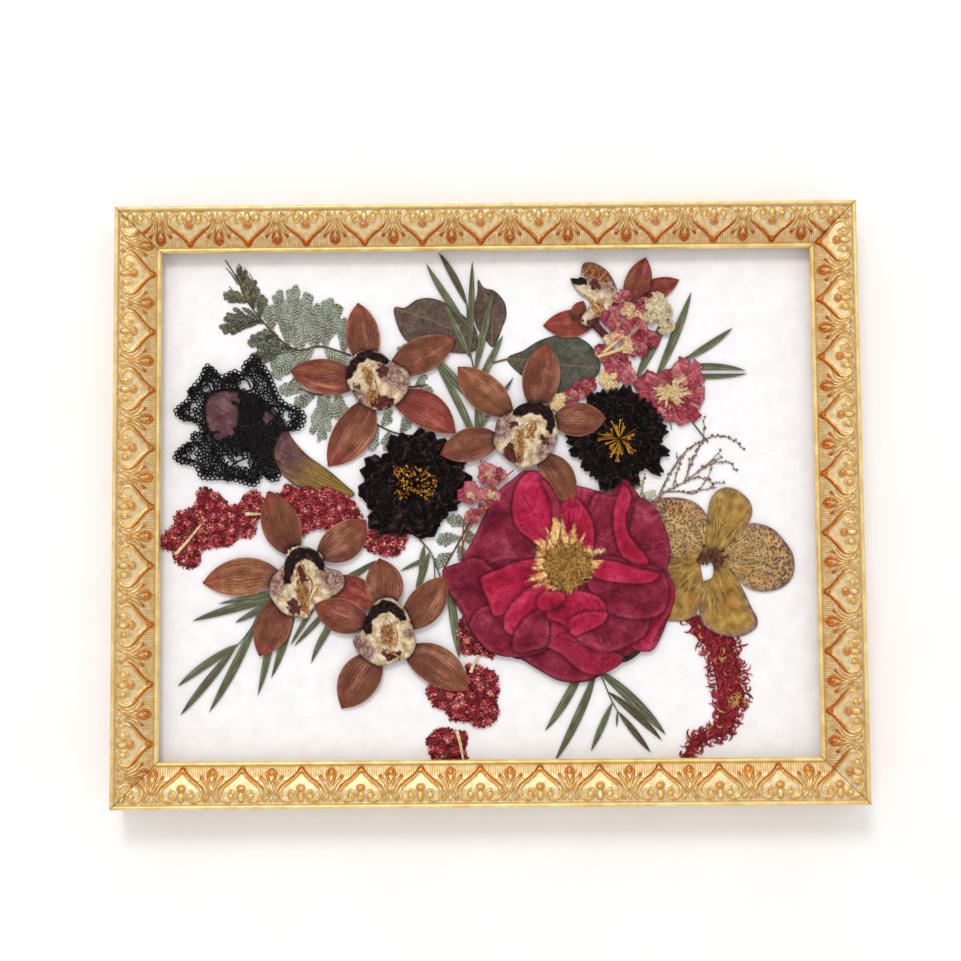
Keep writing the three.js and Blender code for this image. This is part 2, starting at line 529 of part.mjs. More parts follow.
// ---- floret clusters ----
const PINK_CLUSTERS = {
  upper: { layer: 3, outline: [[63, 103], [69, 110], [78, 111], [82, 106], [87, 107], [86, 98], [82, 97],
    [87, 90], [86, 84], [79, 84], [72, 80], [65, 80], [63, 84], [68, 90], [64, 95]] },
  lower: { layer: 2, outline: [[59, 83], [62, 79], [68, 79], [73, 78], [77, 74], [77, 66], [75, 62], [69, 62],
    [63, 61], [60.5, 65], [61.5, 72], [58, 77]] },
  right: { layer: 2, outline: [[81, 60], [83, 67], [90, 73], [95, 72], [98, 66], [102, 67], [104, 75], [110, 78],
    [115, 74], [118, 69], [121, 61], [119, 56], [121, 51], [113, 46], [106, 41], [97, 44], [90, 50], [84, 55]] },
  centre: { layer: 4, outline: [[-13.5, 4], [-8, 10], [-3, 9], [-3, 16], [1, 20], [7, 20], [11, 18], [7, 11],
    [1, 3.5], [-5, -8], [-10, -8], [-13, -27], [-15, -27], [-12, -7], [-8, -3], [-11, -1]] },
  small: { layer: 2, outline: [[34, 49], [36, 57], [43, 58], [50, 61], [56, 64], [57.5, 60], [50, 54], [42, 50]] },
};
const CREAM_CLUSTER = [
  [88, 110], [93, 107], [98, 103], [96, 98], [98, 91], [95, 87.5], [90, 94], [84, 96], [84, 99], [87, 104],
];

// ---- sea lavender twig: thin branches that all meet ----
const TWIG_BRANCHES = [
  [[86, -1], [94, 5], [104, 10], [112, 16], [118, 21], [124, 27]],
  [[91, 4], [98, 17], [106, 27], [114, 32], [122, 34.5], [130, 32.5], [136, 27]],
  [[104, 10], [109, 22], [114.5, 33], [115, 44]],
  [[112, 16], [120, 20], [128, 20], [132, 15]],
  [[104, 10], [112, 12.5], [120, 9.5], [126, 9.5]],
  [[94, 5], [102, 5], [109, 4], [115, 10], [119, 18]],
  [[86, -1], [82, 4], [83, 14]],
];

const STALK_W = 1.3;
const LOBE_STEPS = 3;
const TWIG_W = 0.9;

function addFlowers() {
  ORCHIDS.forEach(({ layer, lip, tepals }, i) => {
    const shapes = [blobShape(lip), ...tepals.map((tepal) => bladeShape(...tepal))];
    addPiece(`orchid_${i + 1}`, pressed(shapes, layer), 'orchid');
  });
  addPiece('rose', pressed([blobShape(ROSE)], 4), 'rose');
  addPiece('dark_flower_1', pressed([blobShape(DARK_FLOWER_1)], 3), 'dark_petal');
  addPiece('dark_flower_2', pressed([blobShape(DARK_FLOWER_2)], 3), 'dark_petal');
  addPiece('vanda_flower', pressed(VANDA_PETALS.map((petal) => blobShape(petal)), 1), 'vanda');
  addPiece('calla_flower', pressed([blobShape(CALLA)], 1), 'calla');
  addPiece('lace_wrap', pressed([blobShape(LACE_WRAP)], 2), 'lace');
}

function addSeedHeads() {
  CELOSIAS.forEach(({ layer, outline }, i) => {
    addPiece(`celosia_${i + 1}`, pressed([blobShape(outline)], layer), 'celosia');
  });
  addPiece('amaranth_tassel', pressed([blobShape(TASSEL)], 0), 'amaranth');
}

function addFoliage() {
  SILVER_LEAVES.forEach(({ stalk, lobes }, i) => {
    const shapes = sprayShapes([stalk], lobes, STALK_W, LOBE_STEPS);
    addPiece(`silver_leaf_${i + 1}`, pressed(shapes, 0), 'silver_leaf');
  });
  DARK_LEAVES.forEach(({ layer, shapes }, i) => {
    addPiece(`dark_leaf_${i + 1}`, pressed(shapes, layer), 'dark_leaf');
  });
  for (const [name, { layer, stalks, blades }] of Object.entries(WILLOW_SPRAYS)) {
    addPiece(`willow_${name}`, pressed(sprayShapes(stalks, blades, STALK_W), layer), 'willow_leaf');
  }
}

function addFillers() {
  for (const [name, { layer, outline }] of Object.entries(PINK_CLUSTERS)) {
    addPiece(`pink_cluster_${name}`, pressed([blobShape(outline)], layer), 'pink_floret');
  }
  addPiece('cream_cluster', pressed([blobShape(CREAM_CLUSTER)], 4), 'cream_floret');
  const branches = TWIG_BRANCHES.map((points) => stalkShape(points, TWIG_W));
  addPiece('sea_lavender_twig', pressed(branches, 0), 'twig');
}

addRails();
addPanels();
addTabs();
addHanger();
addBumpers();
addFlowers();
addSeedHeads();
addFoliage();
addFillers();

export default object;
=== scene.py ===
import math

import bpy
import numpy as np
from mathutils import Matrix, Vector
from mathutils.geometry import delaunay_2d_cdt, tessellate_polygon


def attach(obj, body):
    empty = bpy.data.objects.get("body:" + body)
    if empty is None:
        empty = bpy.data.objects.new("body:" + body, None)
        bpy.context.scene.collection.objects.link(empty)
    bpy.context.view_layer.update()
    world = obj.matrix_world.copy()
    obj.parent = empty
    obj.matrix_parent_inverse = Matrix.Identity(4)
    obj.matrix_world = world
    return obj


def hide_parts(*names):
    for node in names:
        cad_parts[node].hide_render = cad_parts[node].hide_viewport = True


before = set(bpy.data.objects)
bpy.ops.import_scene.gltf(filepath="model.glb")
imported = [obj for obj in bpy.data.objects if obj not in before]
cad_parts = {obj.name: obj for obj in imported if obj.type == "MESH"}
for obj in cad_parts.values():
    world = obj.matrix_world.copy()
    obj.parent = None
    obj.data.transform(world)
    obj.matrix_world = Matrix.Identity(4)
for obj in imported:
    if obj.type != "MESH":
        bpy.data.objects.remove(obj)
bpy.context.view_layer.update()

# ---- sizes: millimetres from the middle of the picture, x right, z up, y away from the viewer ----
MM = 0.001
NOTCH_ABOVE_CENTRE = 145.5
SIGHT_W, SIGHT_H = 343.0, 267.0
RAIL_W = 23.5
MITRE_GAP = 0.06                     # hairline left between two rails
RAIL_BACK_Y = -2.0
CARD_FRONT_Y = -10.5
LAYER_PITCH = 0.6
GAP = 0.3
SHEET_T = 0.22                       # thickness of a dry petal or leaf at its edge
FINE = 1.0  # coarser meshes while trying things


def layer_back(layer):
    """Depth of the back of a specimen in one of the layers, 0 the nearest to the card."""
    return CARD_FRONT_Y - GAP - layer * LAYER_PITCH


# ---- noise and distances on arrays ----
def lattice(ix, iz, seed):
    """A repeatable random number from 0 to 1 for each whole-number place."""
    h = (ix.astype(np.int64) * 374761393 + iz.astype(np.int64) * 668265263 + seed * 982451653) & 0x7FFFFFFF
    h = ((h ^ (h >> 13)) * 1274126177) & 0x7FFFFFFF
    return ((h ^ (h >> 16)) & 0xFFFF) / 65535.0


def noise(x, z, size, seed=0):
    """Smooth noise from 0 to 1 with bumps about size across."""
    x, z = np.asarray(x, float) / size, np.asarray(z, float) / size
    ix, iz = np.floor(x), np.floor(z)
    fx, fz = x - ix, z - iz
    fx, fz = fx * fx * (3 - 2 * fx), fz * fz * (3 - 2 * fz)
    a, b = lattice(ix, iz, seed), lattice(ix + 1, iz, seed)
    c, d = lattice(ix, iz + 1, seed), lattice(ix + 1, iz + 1, seed)
    return (a * (1 - fx) + b * fx) * (1 - fz) + (c * (1 - fx) + d * fx) * fz


def rough_noise(x, z, size, seed=0):
    """Three octaves of noise."""
    total = noise(x, z, size, seed) + noise(x, z, size / 2, seed + 7) / 2
    total = total + noise(x, z, size / 4, seed + 13) / 4
    return total / 1.75


def ease(low, high, value):
    """0 below low and 1 above high, smooth between; low above high turns it round."""
    t = np.clip((value - low) / (high - low), 0, 1)
    return t * t * (3 - 2 * t)


def to_line(x, z, points):
    """Distance from each (x, z) to a bent line, and how far along it that is, from 0 to 1."""
    best = np.full(np.shape(x), 1e9)
    place = np.zeros(np.shape(x))
    lengths = [math.dist(p, q) for p, q in zip(points, points[1:])]
    total, done = sum(lengths), 0.0
    for (ax, az), (bx, bz), length in zip(points, points[1:], lengths):
        dx, dz = bx - ax, bz - az
        t = np.clip(((x - ax) * dx + (z - az) * dz) / max(length * length, 1e-9), 0, 1)
        d = np.hypot(x - ax - t * dx, z - az - t * dz)
        nearer = d < best
        best = np.where(nearer, d, best)
        place = np.where(nearer, (done + t * length) / total, place)
        done += length
    return best, place


def inside(x, z, outline):
    """True where (x, z) lies in a closed outline."""
    result = np.zeros(np.shape(x), bool)
    for (ax, az), (bx, bz) in zip(outline, outline[1:] + outline[:1]):
        crosses = (az > z) != (bz > z)
        slope = (bx - ax) / (bz - az) if bz != az else 0.0
        result ^= crosses & (x < ax + slope * (z - az))
    return result


def soft_area(x, z, outline, ragged=0.0, size=1.5, seed=0, soft=0.5):
    """1 inside an outline and 0 outside, with a ragged edge."""
    d, _ = to_line(x, z, outline + outline[:1])
    signed = np.where(inside(x, z, outline), d, -d)
    signed = signed + (rough_noise(x, z, size, seed) - 0.5) * 2 * ragged
    return ease(-soft, soft, signed)


def smooth_line(points, steps=6, closed=False):
    """A Catmull-Rom line through given points."""
    pts = [np.array(p, float) for p in points]
    count = len(pts)
    result = []
    for i in range(count if closed else count - 1):
        p0 = pts[(i - 1) % count] if closed or i > 0 else pts[0]
        p1, p2 = pts[i], pts[(i + 1) % count]
        p3 = pts[(i + 2) % count] if closed or i + 2 < count else pts[-1]
        for k in range(steps):
            t = k / steps
            q = 0.5 * (2 * p1 + (p2 - p0) * t + (2 * p0 - 5 * p1 + 4 * p2 - p3) * t * t
                       + (3 * p1 - p0 - 3 * p2 + p3) * t ** 3)
            result.append(tuple(q))
    if not closed:
        result.append(tuple(pts[-1]))
    return result


def shrink(outline, centre, share):
    """The same outline, drawn in towards a point."""
    return [tuple(centre + share * (np.array(p) - centre)) for p in outline]


def toward(angle):
    return np.array([math.cos(angle), math.sin(angle)])


def left_of(way):
    return np.array([-way[1], way[0]])


def even_line(points, spacing, closed=False):
    """The same line with its points evenly spaced."""
    pts = np.array(points + (points[:1] if closed else []), float)
    steps = np.hypot(*np.diff(pts, axis=0).T)
    along = np.concatenate([[0], np.cumsum(steps)])
    count = max(int(round(along[-1] / spacing)), 3)
    want = np.linspace(0, along[-1], count + 1)
    line = np.stack([np.interp(want, along, pts[:, k]) for k in range(pts.shape[1])], 1)
    return line[:-1] if closed else line


# ---- pieces: closed bodies gathered into one mesh ----
VALUES = ("along", "across", "kind", "tone", "mark", "shade")


def shade_under(x, z, above, reach=1.3):
    """Painted shadow (0 to 1) at each place from the petals that lie over it, given their outlines."""
    dark = np.zeros(np.shape(x))
    for outline in above:
        points = np.array(outline)
        low, high = points.min(0) - 3 * reach, points.max(0) + 3 * reach
        near = (x > low[0]) & (x < high[0]) & (z > low[1]) & (z < high[1])
        if near.any():
            d, _ = to_line(x[near], z[near], outline + outline[:1])
            dark[near] = np.maximum(dark[near], np.exp(-(d / reach) ** 1.5))
    return dark


class Piece:
    """Closed bodies with values at their points, made into one mesh object."""

    def __init__(self, name):
        self.name = name
        self.points, self.quads, self.tris = [], [], []
        self.values = {key: [] for key in VALUES}
        self.count = 0

    def add(self, points, quads=(), tris=(), **values):
        points = np.asarray(points, float).reshape(-1, 3)
        quads = np.asarray(quads, int).reshape(-1, 4)
        tris = np.asarray(tris, int).reshape(-1, 3)
        every = np.concatenate([quads[:, [0, 1, 2]], quads[:, [0, 2, 3]], tris])
        a, b, c = (points[every[:, k]] - points.mean(0) for k in range(3))
        if np.einsum("ij,ij->i", a, np.cross(b, c)).sum() < 0:
            quads, tris = quads[:, ::-1], tris[:, ::-1]
        self.points.append(points)
        self.quads.append(quads + self.count)
        self.tris.append(tris + self.count)
        for key in VALUES:
            value = np.asarray(values.get(key, 0.0), float)
            self.values[key].append(np.broadcast_to(value.ravel(), (len(points),)))
        self.count += len(points)

    def make(self, material, slot, *nodes, angle=50):
        points = np.concatenate(self.points) * MM
        points[:, 2] -= NOTCH_ABOVE_CENTRE * MM
        faces = np.concatenate(self.quads).tolist() + np.concatenate(self.tris).tolist()
        mesh = bpy.data.meshes.new(self.name)
        mesh.from_pydata(points.tolist(), [], faces)
        for key in VALUES:
            attribute = mesh.attributes.new(key, "FLOAT", "POINT")
            attribute.data.foreach_set("value", np.concatenate(self.values[key]).astype(np.float32))
        mesh.shade_smooth()
        mesh.set_sharp_from_angle(angle=math.radians(angle))
        piece = bpy.data.objects.new(self.name, mesh)
        bpy.context.scene.collection.objects.link(piece)
        mesh.materials.append(material)
        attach(piece, "root")
        if nodes:
            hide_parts(*nodes)
        return piece


def grid_faces(n, m, closed_m=False):
    """Quads between the points of an n by m grid."""
    i, j = np.meshgrid(np.arange(n - 1), np.arange(m if closed_m else m - 1), indexing="ij")
    k = (j + 1) % m
    return np.stack([i * m + j, (i + 1) * m + j, (i + 1) * m + k, i * m + k], -1).reshape(-1, 4)


def add_strip(piece, x, z, y, back, **values):
    """A body with a shaped front of n by m points and a plain back (a number or one per row)."""
    n, m = x.shape
    front = np.stack([x, y, z], -1).reshape(-1, 3)
    back = np.broadcast_to(np.asarray(back, float), (n,))
    rear = np.stack([x[:, [0, -1]], np.stack([back, back], 1), z[:, [0, -1]]], -1).reshape(-1, 3)
    i = np.arange(n - 1)
    f, r = i * m, n * m + 2 * i
    quads = [grid_faces(n, m),
             np.stack([r, r + 1, r + 3, r + 2], 1),
             np.stack([f, r, r + 2, f + m], 1),
             np.stack([f + m - 1, f + 2 * m - 1, r + 3, r + 1], 1)]
    tris = []
    for row, flip in ((0, False), (n - 1, True)):
        left, right = n * m + 2 * row, n * m + 2 * row + 1
        fan = [(left, row * m + j + 1, row * m + j) for j in range(m - 1)]
        fan.append((left, right, row * m + m - 1))
        tris += [t[::-1] for t in fan] if flip else fan
    spread = {}
    for key, value in values.items():
        value = np.broadcast_to(np.asarray(value, float), (n, m))
        spread[key] = np.concatenate([value.ravel(), value[:, [0, -1]].ravel()])
    piece.add(np.concatenate([front, rear]), np.concatenate(quads), tris, **spread)


def outer_chain(tris):
    """The points along the outer edge of a sheet of triangles, in order."""
    used = {}
    for t in tris:
        for a, b in ((t[0], t[1]), (t[1], t[2]), (t[2], t[0])):
            used[(a, b)] = True
    border = {int(a): int(b) for (a, b) in used if (b, a) not in used}
    start = next(iter(border))
    chain = [start]
    while border[chain[-1]] != start and len(chain) < len(border):
        chain.append(border[chain[-1]])
    return np.array(chain)


def rear_cap(rear, count, front_turn):
    """Triangles that close a body's back, turned against its front, which has count points."""
    cap = np.array(tessellate_polygon([[Vector((p[0], p[2], 0)) for p in rear]])) + count
    a, b, c = (rear[cap[:, k] - count][:, [0, 2]] for k in range(3))
    turn = (b[:, 0] - a[:, 0]) * (c[:, 1] - a[:, 1]) - (b[:, 1] - a[:, 1]) * (c[:, 0] - a[:, 0])
    real = np.abs(turn) > 1e-9
    cap, turn = cap[real], turn[real]
    return np.where((turn * front_turn > 0)[:, None], cap[:, ::-1], cap)


def add_patch(piece, outline, spacing, shape, back, seed=0):
    """A body of any outline.

    shape(x, z, edge) gives the front's depth and a dict of values; edge is the distance in from
    the edge.
    """
    ring = even_line([tuple(p) for p in outline], spacing, closed=True)
    low, high = ring.min(0), ring.max(0)
    columns = np.arange(low[0], high[0], spacing)
    rows = np.arange(low[1], high[1], spacing * 0.866)
    gx, gz = np.meshgrid(columns, rows)
    gx = gx + (np.arange(len(rows)) % 2)[:, None] * spacing / 2
    gx = gx + (lattice(gx * 97, gz * 89, seed) - 0.5) * spacing * 0.3
    loop = [tuple(p) for p in ring]
    edge, _ = to_line(gx, gz, loop + loop[:1])
    keep = inside(gx, gz, loop) & (edge > spacing * 0.55)
    flat = [Vector(p) for p in loop] + [Vector(p) for p in zip(gx[keep].tolist(), gz[keep].tolist())]
    sides = [(i, (i + 1) % len(loop)) for i in range(len(loop))]
    verts, _, faces, *_ = delaunay_2d_cdt(flat, sides, [], 1, 1e-6)
    xz = np.array([tuple(v) for v in verts])
    tris = np.array([f for f in faces if len(f) == 3])
    chain = outer_chain(tris)
    edge, _ = to_line(xz[:, 0], xz[:, 1], loop + loop[:1])
    y, values = shape(xz[:, 0], xz[:, 1], edge)
    front = np.stack([xz[:, 0], y, xz[:, 1]], 1)
    rear = front[chain].copy()
    rear[:, 1] = back
    count, size = len(front), len(chain)
    near, far = np.arange(size), (np.arange(size) + 1) % size
    skirt = np.stack([chain[far], chain[near], count + near, count + far], 1)
    cap = rear_cap(rear, count, signed_turn(front[tris[0]][:, [0, 2]]))
    spread = {}
    for key, value in values.items():
        value = np.broadcast_to(np.asarray(value, float), (count,))
        spread[key] = np.concatenate([value, value[chain]])
    piece.add(np.concatenate([front, rear]), skirt, np.concatenate([tris, cap]), **spread)


def signed_turn(corners):
    """Above 0 where three corners turn left."""
    (ax, az), (bx, bz), (cx, cz) = corners
    return (bx - ax) * (cz - az) - (bz - az) * (cx - ax)


def add_tube(piece, points, radius, sides=6, flat=1.0, **values):
    """A round cord or hair along a line of [x, y, z] points.

    radius is a number or one per point; flat squeezes it in depth.
    """
    line = np.asarray(points, float)
    n = len(line)
    radius = np.broadcast_to(np.asarray(radius, float), (n,))
    ahead = np.gradient(line, axis=0)
    ahead /= np.maximum(np.linalg.norm(ahead, axis=1, keepdims=True), 1e-9)
    side = np.cross(ahead, [0.0, 1.0, 0.0])
    length = np.linalg.norm(side, axis=1, keepdims=True)
    side = np.where(length > 1e-6, side / np.maximum(length, 1e-6), [1.0, 0.0, 0.0])
    up = np.cross(side, ahead)
    turn = np.arange(sides) * 2 * np.pi / sides
    ring = (side[:, None, :] * np.cos(turn)[None, :, None]
            + up[:, None, :] * np.sin(turn)[None, :, None] * flat)
    body = (line[:, None, :] + ring * radius[:, None, None]).reshape(-1, 3)
    tris = [(0, j + 1, j) for j in range(1, sides - 1)]
    last = (n - 1) * sides
    tris += [(last, last + j, last + j + 1) for j in range(1, sides - 1)]
    spread = {k: np.repeat(np.broadcast_to(np.asarray(v, float), (n,)), sides) for k, v in values.items()}
    piece.add(body, grid_faces(n, sides, closed_m=True), tris, **spread)


def add_stem(piece, drawn, depth, spacing, thick, thin, **settings):
    """A tapering stalk along a drawn line, at one depth."""
    line = even_line(smooth_line(drawn, 4), spacing)
    points = np.stack([line[:, 0], np.full(len(line), depth), line[:, 1]], 1)
    add_tube(piece, points, np.linspace(thick, thin, len(line)), **settings)


def blade_rows(base, tip, width, bow, n, m, blunt=0.02):
    """x and z of a leaf's n by m points, its along (0 to 1), across (-1 to 1) and half width."""
    base, tip = np.array(base, float), np.array(tip, float)
    along = tip - base
    length = np.hypot(*along)
    forward = along / length
    across = left_of(forward)
    t = (1 - np.cos(np.linspace(0, np.pi, n))) / 2
    s = np.sin(np.linspace(-np.pi / 2, np.pi / 2, m))
    # the curve of a cubic with both handles at 2/3 of the width, as the solid has
    tt = np.linspace(0, 1, 200)
    travel = 3 * tt * (1 - tt) ** 2 * 0.22 + 3 * tt ** 2 * (1 - tt) * 0.75 + tt ** 3
    swell = 3 * tt * (1 - tt)
    half = np.interp(t, travel, swell) * width * 2 / 3
    middle = np.interp(t, travel, swell) * 4 / 3 * bow
    half = np.maximum(half, blunt * width + 0.05)
    centre = base + forward * (t * length)[:, None] + across * middle[:, None]
    x = centre[:, 0][:, None] + across[0] * half[:, None] * s
    z = centre[:, 1][:, None] + across[1] * half[:, None] * s
    return x, z, np.broadcast_to(t[:, None], (n, m)), np.broadcast_to(s, (n, m)), half


# ---- materials ----
CONTRAST = 1.9                       # spreads a noise texture's values over the whole of 0 to 1
DRY_GLOSS = 0.12                     # specular level of dry plant matter


class Finish:
    """Builds one procedural material."""

    def __init__(self, name, **fixed):
        self.material = bpy.data.materials.new(name)
        self.material.use_nodes = True
        self.tree = self.material.node_tree
        self.shader = self.tree.nodes["Principled BSDF"]
        for key, value in fixed.items():
            self.shader.inputs[key.replace("_", " ")].default_value = value
        self.where = self.tree.nodes.new("ShaderNodeTexCoord").outputs["Object"]

    def node(self, kind, **settings):
        made = self.tree.nodes.new(kind)
        for key, value in settings.items():
            setattr(made, key, value)
        return made

    def link(self, source, target):
        if isinstance(source, (int, float)):
            target.default_value = source
        elif isinstance(source, tuple):
            target.default_value = (*source, 1.0) if len(source) == 3 else source
        else:
            self.tree.links.new(source, target)

    def value(self, name):
        return self.node("ShaderNodeAttribute", attribute_name=name).outputs["Fac"]

    def noise(self, size, detail=3.0, rough=0.55, distort=0.0, vector=None):
        """Noise with features about size millimetres across."""
        made = self.node("ShaderNodeTexNoise")
        made.inputs["Scale"].default_value = 1 / (size * MM)
        made.inputs["Detail"].default_value = detail
        made.inputs["Roughness"].default_value = rough
        made.inputs["Distortion"].default_value = distort
        self.link(vector or self.where, made.inputs["Vector"])
        return self.scaled(made.outputs["Fac"], CONTRAST, (1 - CONTRAST) / 2, clamp=True)

    def creases(self, size, width, vector=None):
        """Thin wandering lines, 1 on the line."""
        value = self.noise(size, 2.0, 0.5, 0.0, vector)
        return self.band(self.calc("ABSOLUTE", self.minus(value, 0.5)), width, width * 0.15)

    def spots(self, size, vector=None):
        """Distance from the nearest of many scattered places, size millimetres apart."""
        made = self.node("ShaderNodeTexVoronoi")
        made.inputs["Scale"].default_value = 1 / (size * MM)
        self.link(vector or self.where, made.inputs["Vector"])
        return made.outputs["Distance"]

    def join(self, x, y, z=0.0):
        made = self.node("ShaderNodeCombineXYZ")
        for source, target in zip((x, y, z), made.inputs):
            self.link(source, target)
        return made.outputs["Vector"]

    def calc(self, operation, a, b=0.0, c=0.0, clamp=False):
        made = self.node("ShaderNodeMath", operation=operation, use_clamp=clamp)
        for source, target in zip((a, b, c), made.inputs):
            self.link(source, target)
        return made.outputs["Value"]

    def times(self, a, b):
        return self.calc("MULTIPLY", a, b)

    def plus(self, a, b):
        return self.calc("ADD", a, b)

    def minus(self, a, b, clamp=False):
        return self.calc("SUBTRACT", a, b, clamp=clamp)

    def scaled(self, a, factor, added, clamp=False):
        return self.calc("MULTIPLY_ADD", a, factor, added, clamp=clamp)

    def band(self, value, low, high):
        """0 below low, 1 above high, smooth between; low above high turns it round."""
        made = self.node("ShaderNodeMapRange", interpolation_type="SMOOTHSTEP")
        start, end, flip = (low, high, False) if low < high else (high, low, True)
        self.link(value, made.inputs["Value"])
        made.inputs["From Min"].default_value = start
        made.inputs["From Max"].default_value = end
        made.inputs["To Min"].default_value = 1.0 if flip else 0.0
        made.inputs["To Max"].default_value = 0.0 if flip else 1.0
        return made.outputs["Result"]

    def ramp(self, value, *stops):
        """A colour for each value, between (value, screen colour) stops."""
        made = self.node("ShaderNodeValToRGB")
        elements = made.color_ramp.elements
        while len(elements) < len(stops):
            elements.new(0.5)
        for element, (place, colour) in zip(elements, stops):
            element.position = place
            element.color = (*srgb(colour), 1.0)
        self.link(value, made.inputs["Fac"])
        return made.outputs["Color"]

    def mix(self, factor, a, b, blend="MIX"):
        made = self.node("ShaderNodeMix", data_type="RGBA", blend_type=blend)
        self.link(factor, made.inputs["Factor"])
        self.link(srgb(a) if isinstance(a, tuple) else a, made.inputs["A"])
        self.link(srgb(b) if isinstance(b, tuple) else b, made.inputs["B"])
        return made.outputs["Result"]

    def tint(self, base, colour, mask, share):
        """The base colour with a share of another one where mask is 1."""
        return self.mix(self.times(mask, share), base, colour)

    def bump(self, height, depth):
        """Fine relief depth millimetres deep."""
        made = self.node("ShaderNodeBump")
        made.inputs["Strength"].default_value = 1.0
        made.inputs["Distance"].default_value = depth * MM
        self.link(height, made.inputs["Height"])
        self.link(made.outputs["Normal"], self.shader.inputs["Normal"])

    def colour(self, source):
        self.link(source, self.shader.inputs["Base Color"])

    def dry_colour_painted_shade(self, source, depth=0.85):
        """Colour of a dry specimen, darkened by painted shade where its shade value is high."""
        shaded = self.times(self.value("shade"), depth)
        self.colour(self.mix(shaded, source, (92, 70, 72), "MULTIPLY"))

    def roughness(self, source):
        self.link(source, self.shader.inputs["Roughness"])


def srgb(colour):
    """A screen colour of 0 to 255 as linear light."""
    linear = []
    for c in colour:
        c = c / 255
        linear.append(c / 12.92 if c <= 0.04045 else ((c + 0.055) / 1.055) ** 2.4)
    return tuple(linear)


# ---- camera ----
CAMERA_F_PX = 1546.5
IMAGE_PX = 961
SENSOR = 36.0
CAMERA_AT = (0.0, -826.6, -47.0)
CAMERA_PITCH, CAMERA_YAW, CAMERA_ROLL = (math.radians(a) for a in (-4.125, -0.250, -0.465))


def add_camera():
    data = bpy.data.cameras.new("camera")
    data.sensor_width = SENSOR
    data.sensor_fit = "HORIZONTAL"
    data.lens = SENSOR * CAMERA_F_PX / IMAGE_PX
    data.clip_start = 0.05
    data.clip_end = 50
    camera = bpy.data.objects.new("camera", data)
    bpy.context.scene.collection.objects.link(camera)
    pitch = Matrix.Rotation(CAMERA_PITCH, 4, "X")
    yaw = Matrix.Rotation(CAMERA_YAW, 4, "Z")
    roll = Matrix.Rotation(CAMERA_ROLL, 4, "Y")
    place = Matrix.Translation([CAMERA_AT[0] * MM, CAMERA_AT[1] * MM,
                                (CAMERA_AT[2] - NOTCH_ABOVE_CENTRE) * MM])
    camera.matrix_world = place @ (roll @ pitch @ yaw).transposed() @ Matrix.Rotation(math.pi / 2, 4, "X")
    bpy.context.scene.camera = camera
    bpy.context.scene.view_settings.view_transform = "Standard"


# ---- wall, floor and light ----
WALL_Y = 1.35
FLOOR_Z = -800.0
WALL_HALF_W, WALL_TOP = 3500, 2600
FLOOR_REACH = 4000
WORLD_LOW, WORLD_HIGH = 0.45, 0.945  # brightness from below and from above
WORLD_COLOUR = (1.0, 0.996, 1.0, 1.0)
LAMP_FROM = Vector((-0.28, -1.9, 1.30))  # from the picture's middle, in metres
LAMP_ACROSS = 0.70
LAMP_POWER = 16.8
LAMP_COLOUR = (1.0, 0.98, 0.972)


def stage_plane(name, corners, material):
    """A flat sheet of the room, which isn't part of the object."""
    mesh = bpy.data.meshes.new(name)
    points = [(x * MM, y * MM, (z - NOTCH_ABOVE_CENTRE) * MM) for x, y, z in corners]
    mesh.from_pydata(points, [], [(0, 1, 2, 3)])
    plane = bpy.data.objects.new(name, mesh)
    bpy.context.scene.collection.objects.link(plane)
    mesh.materials.append(material)
    return plane


def add_stage():
    """A white wall, seen from its front only, and a floor."""
    wall = Finish("wall_paint", Roughness=0.9, Specular_IOR_Level=0.1)
    wall.colour(wall.ramp(wall.noise(60, 2), (0.3, (251, 250, 249)), (0.7, (253, 252, 252))))
    wall.bump(wall.noise(1.5, 3), 0.05)
    clear = wall.node("ShaderNodeBsdfTransparent")
    pick = wall.node("ShaderNodeMixShader")
    behind = wall.node("ShaderNodeNewGeometry").outputs["Backfacing"]
    wall.link(behind, pick.inputs[0])
    wall.link(wall.shader.outputs["BSDF"], pick.inputs[1])
    wall.link(clear.outputs["BSDF"], pick.inputs[2])
    wall.link(pick.outputs["Shader"], wall.tree.nodes["Material Output"].inputs["Surface"])
    across, up = WALL_HALF_W, WALL_TOP
    sheet = stage_plane("wall", [(-across, WALL_Y, FLOOR_Z), (across, WALL_Y, FLOOR_Z),
                                 (across, WALL_Y, up), (-across, WALL_Y, up)], wall.material)
    sheet.visible_shadow = False
    sheet.visible_diffuse = False
    sheet.visible_glossy = False
    sheet.visible_transmission = True
    floor = Finish("floor_paint", Roughness=0.8, Specular_IOR_Level=0.2)
    floor.colour(floor.ramp(floor.noise(90, 3), (0.3, (236, 235, 233)), (0.7, (241, 240, 238))))
    stage_plane("floor", [(-across, -FLOOR_REACH, FLOOR_Z), (across, -FLOOR_REACH, FLOOR_Z),
                          (across, FLOOR_REACH, FLOOR_Z), (-across, FLOOR_REACH, FLOOR_Z)],
                floor.material)


def add_world():
    """Even light, brighter from above."""
    world = bpy.data.worlds.new("studio")
    bpy.context.scene.world = world
    world.use_nodes = True
    tree = world.node_tree
    direction = tree.nodes.new("ShaderNodeTexCoord").outputs["Generated"]
    split = tree.nodes.new("ShaderNodeSeparateXYZ")
    tree.links.new(direction, split.inputs["Vector"])
    ramp = tree.nodes.new("ShaderNodeMapRange")
    ramp.inputs["From Min"].default_value = -0.9
    ramp.inputs["From Max"].default_value = 0.7
    ramp.inputs["To Min"].default_value = WORLD_LOW
    ramp.inputs["To Max"].default_value = WORLD_HIGH
    tree.links.new(split.outputs["Z"], ramp.inputs["Value"])
    tree.links.new(ramp.outputs["Result"], tree.nodes["Background"].inputs["Strength"])
    tree.nodes["Background"].inputs["Color"].default_value = WORLD_COLOUR


